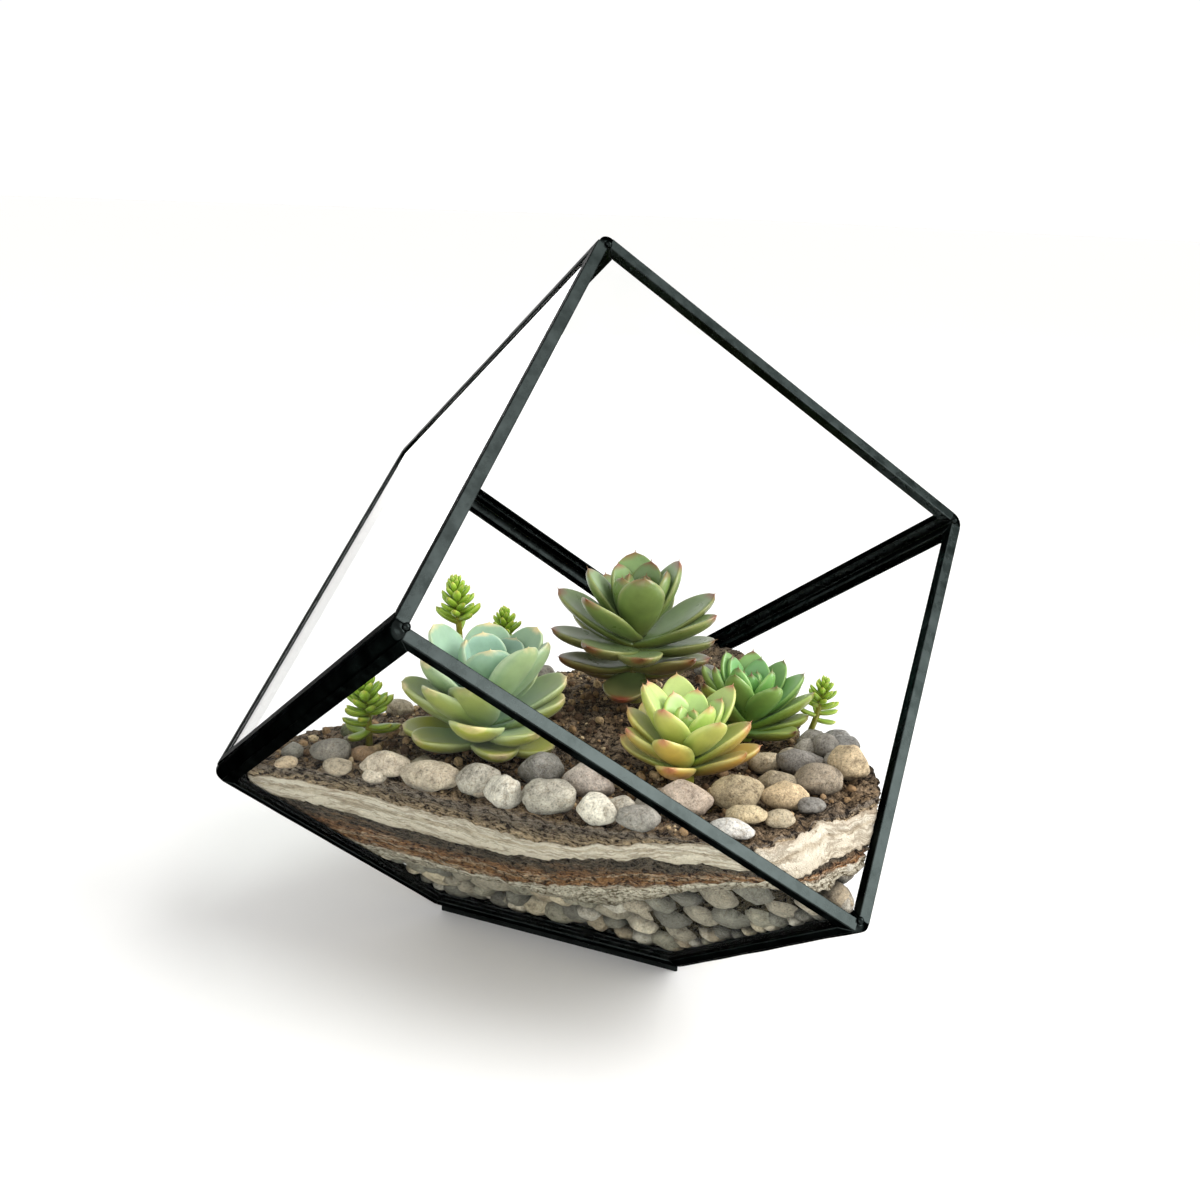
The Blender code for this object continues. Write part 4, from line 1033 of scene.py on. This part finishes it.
def succulentLeaf(name, plan):
    # Fleshy succulent skin: waxy and a little see-through, paler at the rim, blushed at the tip and with age
    made, tree, output = newMaterial(name)
    leafPlace = addNode(tree, "ShaderNodeAttribute", attribute_name="leafPlace").outputs["Vector"]
    leafKind = addNode(tree, "ShaderNodeAttribute", attribute_name="leafKind").outputs["Vector"]
    where = addNode(tree, "ShaderNodeTexCoord").outputs["Object"]
    leafPart = addNode(tree, "ShaderNodeSeparateXYZ", {"Vector": leafPlace})
    kind = addNode(tree, "ShaderNodeSeparateXYZ", {"Vector": leafKind})
    blotch = addNode(tree, "ShaderNodeTexNoise", {
        "Vector": where, "Scale": 1 / (7 * mm), "Detail": 5, "Roughness": 0.6})
    fine = addNode(tree, "ShaderNodeTexNoise", {"Vector": where, "Scale": 1 / (0.7 * mm), "Detail": 3})
    wobble = addNode(tree, "ShaderNodeMath", {
        0: blotch.outputs["Fac"], 1: 0.22, 2: leafPart.outputs["X"]}, operation="MULTIPLY_ADD")
    along = addNode(tree, "ShaderNodeValToRGB", {"Fac": wobble.outputs["Value"]}, stops=(
        (0.10, plan["along"][0]), (0.55, plan["along"][1]), (1.0, plan["along"][2])))
    facing = addNode(tree, "ShaderNodeMapRange", {
        "Value": leafPart.outputs["Z"], "From Min": 0.45, "From Max": 0.9, "To Max": 0.7})
    aging = addNode(tree, "ShaderNodeMath", {
        0: kind.outputs["X"], 1: wobble.outputs["Value"]}, operation="MULTIPLY")
    ageShare = addNode(tree, "ShaderNodeMapRange", {
        "Value": aging.outputs["Value"], "From Min": 0.15, "From Max": 0.85, "To Max": plan["ageShow"]})
    under = addNode(tree, "ShaderNodeMapRange", {
        "Value": leafPart.outputs["Z"], "From Min": 0.5, "From Max": 0.12, "To Max": plan["underShow"]})
    underShare = addNode(tree, "ShaderNodeMath", {
        0: under.outputs["Result"], 1: kind.outputs["X"]}, operation="MULTIPLY", use_clamp=True)
    rim = addNode(tree, "ShaderNodeMapRange", {
        "Value": leafPart.outputs["Y"], "From Min": 0.86, "From Max": 1.0, "To Max": plan["edgeShow"]})
    outward = addNode(tree, "ShaderNodeMapRange", {
        "Value": leafPart.outputs["X"], "From Min": 0.25, "From Max": 0.7})
    rimShare = addNode(tree, "ShaderNodeMath", {
        0: rim.outputs["Result"], 1: outward.outputs["Result"]}, operation="MULTIPLY")
    tipShare = addNode(tree, "ShaderNodeMapRange", {
        "Value": wobble.outputs["Value"], "From Min": plan["tipStart"] + 0.08, "From Max": 1.12,
        "To Max": 0.9})
    colour = along.outputs["Color"]
    for share, hue in ((facing.outputs["Result"], "inner"), (ageShare.outputs["Result"], "aged"),
                       (underShare.outputs["Value"], "aged"), (rimShare.outputs["Value"], "edge"),
                       (tipShare.outputs["Result"], "tipColour")):
        colour = addNode(tree, "ShaderNodeMix", {
            0: share, 6: colour, 7: linear(plan[hue])}, data_type="RGBA").outputs[2]
    tone = addNode(tree, "ShaderNodeMapRange", {
        "Value": blotch.outputs["Fac"], "From Min": 0.3, "From Max": 0.7, "To Min": 0.86, "To Max": 1.12})
    perLeaf = addNode(tree, "ShaderNodeMapRange", {
        "Value": kind.outputs["Y"], "To Min": 0.86, "To Max": 1.12})
    value = addNode(tree, "ShaderNodeMath", {
        0: tone.outputs["Result"], 1: perLeaf.outputs["Result"]}, operation="MULTIPLY")
    toned = addNode(tree, "ShaderNodeHueSaturation", {"Value": value.outputs["Value"], "Color": colour})
    gloss = addNode(tree, "ShaderNodeMapRange", {
        "Value": blotch.outputs["Fac"], "From Min": 0.3, "From Max": 0.7,
        "To Min": plan["roughness"] - 0.05, "To Max": plan["roughness"] + 0.1})
    bump = addNode(tree, "ShaderNodeBump", {
        "Height": fine.outputs["Fac"], "Strength": 0.2, "Distance": 0.06 * mm})
    shader = addNode(tree, "ShaderNodeBsdfPrincipled", {
        "Base Color": toned.outputs["Color"], "Roughness": gloss.outputs["Result"], "IOR": 1.42,
        "Subsurface Weight": 0.12, "Subsurface Radius": (1.0, 1.3, 0.5), "Subsurface Scale": 1.2 * mm,
        "Sheen Weight": plan["bloom"] * 0.3, "Sheen Roughness": 0.5, "Coat Weight": plan["coat"],
        "Coat Roughness": 0.3, "Normal": bump.outputs["Normal"]})
    tree.links.new(shader.outputs["BSDF"], output.inputs["Surface"])
    return made


def soilAt(at):
    # A place on the soil, from its x and y in mm
    x, y = at[0] * mm, at[1] * mm
    return Vector((x, y, float(boundaryHeight("ground", np.float64(x), np.float64(y)))))


def leafTurn(turn, rise):
    # Turns a leaf from +X to its own direction, both in degrees
    spin = Matrix.Rotation(math.radians(viewerTurn + turn), 4, "Z")
    return spin @ Matrix.Rotation(-math.radians(rise), 4, "Y")


def makeRosette(name, plan):
    chance = random.Random(len(name) * 7 + 3)
    form = rosetteForm
    plant = Heap()
    soil = soilAt(plan["at"])
    top, bottom = (plan["whorls"][whorl][0] * mm for whorl in (0, -1))
    foot = soil - Vector((0, 0, form["stemFootMm"] * mm))
    stem = roundStem(foot, soil + Vector((0, 0, top)), [radius * mm for radius in form["stemMm"]])
    addPart(plant, Matrix.Identity(4), stem, 0.5, 0.5)
    for height, length, width, leaves in plan["whorls"]:
        age = (top - height * mm) / max(top - bottom, mm)
        for turn, rise in leaves:
            leaf = {
                "length": length * chance.uniform(*form["lengthVary"]) * mm,
                "width": width * chance.uniform(*form["widthVary"]) * mm,
                "thick": plan["thick"] * mm, "base": plan["base"], "widest": plan["widest"],
                "tip": plan["tip"], "cup": plan["cup"],
                "curl": math.radians(plan["curl"] * chance.uniform(*form["curlVary"])),
                "spike": plan["spike"] * mm, "spikeWidth": form["spikeWidthMm"] * mm,
                "wave": chance.uniform(-form["wave"], form["wave"]), "phase": chance.uniform(0, 6),
            }
            shape = leafPoints(leaf, form["around"], form["along"])
            jitter = chance.uniform(-form["jitterMm"], form["jitterMm"]) * mm
            seat = Matrix.Translation(soil + Vector((0, 0, height * mm + jitter)))
            roll = Matrix.Rotation(math.radians(chance.uniform(-form["roll"], form["roll"])), 4, "X")
            leafAge = age * chance.uniform(*form["ageVary"])
            addPart(plant, seat @ leafTurn(turn, rise) @ roll, shape, leafAge, chance.random())
    piece = plant.piece(name + "_echeveria", succulentLeaf(name + "_leaf_skin", leafFinishes[name]))
    place(piece, plan["slot"], name + "_rosette")


# Stonecrops: foot, height, lean and radius of the stem in mm, its head of close leaves (count, length and
# depth), and the leaves down the stem as share of the stem, turn and rise in degrees, and length in mm
sprigs = {
    "tall": {
        "at": (-28.0, 39.0), "height": 49, "lean": (-3.0, -1.0), "stem": 1.1,
        "head": 38, "headLength": 7.4, "headDepth": 0.25,
        "sides": (
            (0.72, 265, 32, 9.5), (0.74, 85, 40, 10.0), (0.66, 180, 30, 9), (0.62, 350, 25, 8),
            (0.52, 80, 35, 11.0), (0.48, 270, 12, 10.5), (0.4, 170, 15, 9.5), (0.33, 20, 10, 9),
        ),
    },
    "small": {
        "at": (-11.0, 35.0), "height": 34, "lean": (-1.0, 1.0), "stem": 1.0,
        "head": 28, "headLength": 6.8, "headDepth": 0.28,
        "sides": (
            (0.68, 270, 38, 10.0), (0.66, 90, 35, 9.5), (0.62, 180, 30, 9), (0.58, 10, 25, 8),
            (0.5, 290, 25, 10), (0.46, 70, 22, 9),
        ),
    },
    "left": {
        "at": (-70.5, 27.0), "height": 23.5, "lean": (-2.0, 1.0), "stem": 1.1,
        "head": 34, "headLength": 8.0, "headDepth": 0.5,
        "sides": (
            (0.55, 110, 30, 10), (0.52, 320, 25, 10), (0.4, 200, 12, 10), (0.3, 100, 8, 10.5),
            (0.28, 330, 5, 10), (0.24, 240, 8, 10), (0.62, 260, 30, 8.5), (0.6, 80, 35, 8.5),
            (0.5, 180, 20, 8), (0.46, 350, 20, 8), (0.38, 290, 18, 9), (0.34, 70, 15, 9),
        ),
    },
    "right": {
        "at": (49.8, -54.5), "height": 20, "lean": (3.5, -3.0), "stem": 1.0,
        "head": 26, "headLength": 6.0, "headDepth": 0.38,
        "sides": (
            (0.62, 270, 30, 6.5), (0.6, 90, 20, 7.0), (0.52, 95, 8, 7.0), (0.48, 280, 25, 7),
            (0.42, 85, -6, 7), (0.5, 180, 20, 6),
        ),
    },
}
sprigForm = {
    "around": 12, "along": 10, "footMm": 2, "bowMm": 1.2, "thickStem": (1.15, 0.8), "stemAge": (0.9, 0.4),
    "width": 0.40, "thick": 0.27, "spikeMm": 0.25, "spikeWidthMm": 0.12,
    "leaf": {"base": 0.5, "widest": 0.55, "tip": 0.6, "cup": 0.15, "curl": math.radians(22),
             "wave": 0.0, "phase": 0.0},
    # the head: how short its first leaves are and how soon they are full, then how they spread and rise
    "short": 0.45, "fullSoon": 1.6, "lengthVary": (0.92, 1.08), "spread": 1.2, "goldenTurn": 137.5,
    "rise": (82, 58, 0.8), "headAge": 0.1,
}


def makeSprig(name, plan, skin):
    chance = random.Random(len(name) * 11 + 5)
    form = sprigForm
    plant = Heap()
    soil = soilAt(plan["at"])
    foot = soil - Vector((0, 0, form["footMm"] * mm))
    top = soil + Vector((*plan["lean"], plan["height"])) * mm
    radii = [plan["stem"] * share * mm for share in form["thickStem"]]
    addPart(plant, Matrix.Identity(4), roundStem(foot, top, radii, form["bowMm"] * mm), *form["stemAge"])

    def addLeaf(share, turn, rise, lengthMm, age):
        length = lengthMm * mm
        leaf = {**form["leaf"], "length": length, "width": form["width"] * length,
                "thick": form["thick"] * length, "spike": form["spikeMm"] * mm,
                "spikeWidth": form["spikeWidthMm"] * mm}
        seat = foot + (top - foot) * share + Vector((form["bowMm"] * mm, 0, 0)) * math.sin(math.pi * share)
        shape = leafPoints(leaf, form["around"], form["along"])
        addPart(plant, Matrix.Translation(seat) @ leafTurn(turn, rise), shape, age, chance.random())

    steepest, drop, power = form["rise"]
    for index in range(plan["head"]):
        share = index / (plan["head"] - 1)
        grown = form["short"] + (1 - form["short"]) * min(1, form["fullSoon"] * share)
        length = plan["headLength"] * grown * chance.uniform(*form["lengthVary"])
        addLeaf(1 - plan["headDepth"] * share ** form["spread"], index * form["goldenTurn"],
                steepest - drop * share ** power, length, form["headAge"] * share)
    for share, turn, rise, length in plan["sides"]:
        addLeaf(share, turn, rise, length, 1 - share)
    place(plant.piece(name + "_stonecrop", skin), "stonecrop_leaf", name + "_sprig")


# The studio: camera, white surround and board, a soft sun and three softboxes
view = {
    "position": (-0.2495, -0.3148, 0.2428), "heading": 38.82, "down": 17.46, "roll": 2.3,  # degrees
    "sensor": 36, "lens": 37.73, "shiftX": -0.0025, "shiftY": -0.002, "nearest": 0.01,
}


def makeCamera():
    data = bpy.data.cameras.new("studio_camera")
    data.sensor_width = view["sensor"]
    data.lens = view["lens"]
    data.shift_x = view["shiftX"]
    data.shift_y = view["shiftY"]
    data.clip_start = view["nearest"]
    camera = bpy.data.objects.new("studio_camera", data)
    turn = Matrix.Rotation(math.radians(-view["heading"]), 4, "Z")
    tilt = Matrix.Rotation(math.radians(90 - view["down"]), 4, "X")
    roll = Matrix.Rotation(math.radians(view["roll"]), 4, "Z")
    camera.matrix_world = Matrix.Translation(view["position"]) @ turn @ tilt @ roll
    bpy.context.scene.collection.objects.link(camera)
    bpy.context.scene.camera = camera
    print("camera set")


studio = {
    "floorSize": 40.0, "floorColour": "#f3f2f0", "toothSize": 400,
    "horizon": 1.03, "overhead": 0.62, "dims": (0.30, 0.75),  # how bright the surround is, and where it dims
    "sunPower": 1.55, "sunAngle": 45, "sunFrom": (0.52, -0.42, 0.88),
}
softboxes = {
    "front_right": {"from": (0.68, -0.87, 0.64), "at": (-0.03, -0.08, 0.10), "size": (0.66, 0.58),
                    "power": 13},
    "front_left": {"from": (-0.95, -0.60, 0.40), "at": (0, -0.05, 0.05), "size": (1.0, 0.5), "power": 4.5},
    "back_left": {"from": (0.42, 1.8, 0.28), "at": (-0.05, 0, 0.12), "size": (1.6, 0.9), "power": 9},
}


def whiteSurround():
    # Bright round the horizon and dimmer overhead, so that the floor and the backdrop join without a line
    world = bpy.data.worlds.new("white_studio")
    bpy.context.scene.world = world
    world.use_nodes = True
    tree = world.node_tree
    direction = addNode(tree, "ShaderNodeTexCoord").outputs["Generated"]
    upward = addNode(tree, "ShaderNodeSeparateXYZ", {"Vector": direction}).outputs["Z"]
    brightness = addNode(tree, "ShaderNodeMapRange", {
        "Value": upward, "From Min": studio["dims"][0], "From Max": studio["dims"][1],
        "To Min": studio["horizon"], "To Max": studio["overhead"]})
    background = tree.nodes["Background"]
    background.inputs["Color"].default_value = (1, 1, 1, 1)
    tree.links.new(brightness.outputs["Result"], background.inputs["Strength"])


def whiteBoard():
    # Matt white board under the terrarium, with a faint tooth
    made, tree, output = newMaterial("matt_white_board")
    where = addNode(tree, "ShaderNodeTexCoord").outputs["Object"]
    tooth = addNode(tree, "ShaderNodeTexNoise", {
        "Vector": where, "Scale": studio["toothSize"], "Detail": 2})
    bump = addNode(tree, "ShaderNodeBump", {
        "Height": tooth.outputs["Fac"], "Strength": 0.05, "Distance": 0.1 * mm})
    shader = addNode(tree, "ShaderNodeBsdfPrincipled", {
        "Base Color": linear(studio["floorColour"]), "Roughness": 0.8, "Specular IOR Level": 0.1,
        "Normal": bump.outputs["Normal"]})
    tree.links.new(shader.outputs["BSDF"], output.inputs["Surface"])
    return made


def addLamp(name, kind, towards, location, **settings):
    data = bpy.data.lights.new(name, kind)
    for setting, value in settings.items():
        setattr(data, setting, value)
    lamp = bpy.data.objects.new(name, data)
    lamp.location = location
    lamp.rotation_euler = towards.to_track_quat("-Z", "Y").to_euler()
    lamp.visible_camera = False
    lamp.visible_transmission = False
    bpy.context.scene.collection.objects.link(lamp)


def makeStudio():
    bpy.context.scene.view_settings.view_transform = "Standard"
    whiteSurround()
    half = studio["floorSize"] / 2
    square = [(-half, -half, 0), (half, -half, 0), (half, half, 0), (-half, half, 0)]
    addMesh("studio_floor", square, [(0, 1, 2, 3)], whiteBoard())
    sunFrom = Vector(studio["sunFrom"])
    addLamp("soft_sun", "SUN", -sunFrom, sunFrom * 2, energy=studio["sunPower"],
            angle=math.radians(studio["sunAngle"]))
    for name, plan in softboxes.items():
        stand, aim = Vector(plan["from"]), Vector(plan["at"])
        addLamp(name + "_softbox", "AREA", aim - stand, stand, shape="RECTANGLE", energy=plan["power"],
                size=plan["size"][0], size_y=plan["size"][1])
    print("studio made")


makeCamera()
makeStudio()
finishFrame()
makeSolder()
makeLayers()
makeCrumbs()
stoneMaterial = makeSurfaceStones()
makeDrainageStones(stoneMaterial)
for rosetteName, rosettePlan in rosettes.items():
    makeRosette(rosetteName, rosettePlan)
stonecropSkin = succulentLeaf("stonecrop_leaf_skin", leafFinishes["stonecrop"])
for sprigName, sprigPlan in sprigs.items():
    makeSprig(sprigName, sprigPlan, stonecropSkin)
print("plants made")
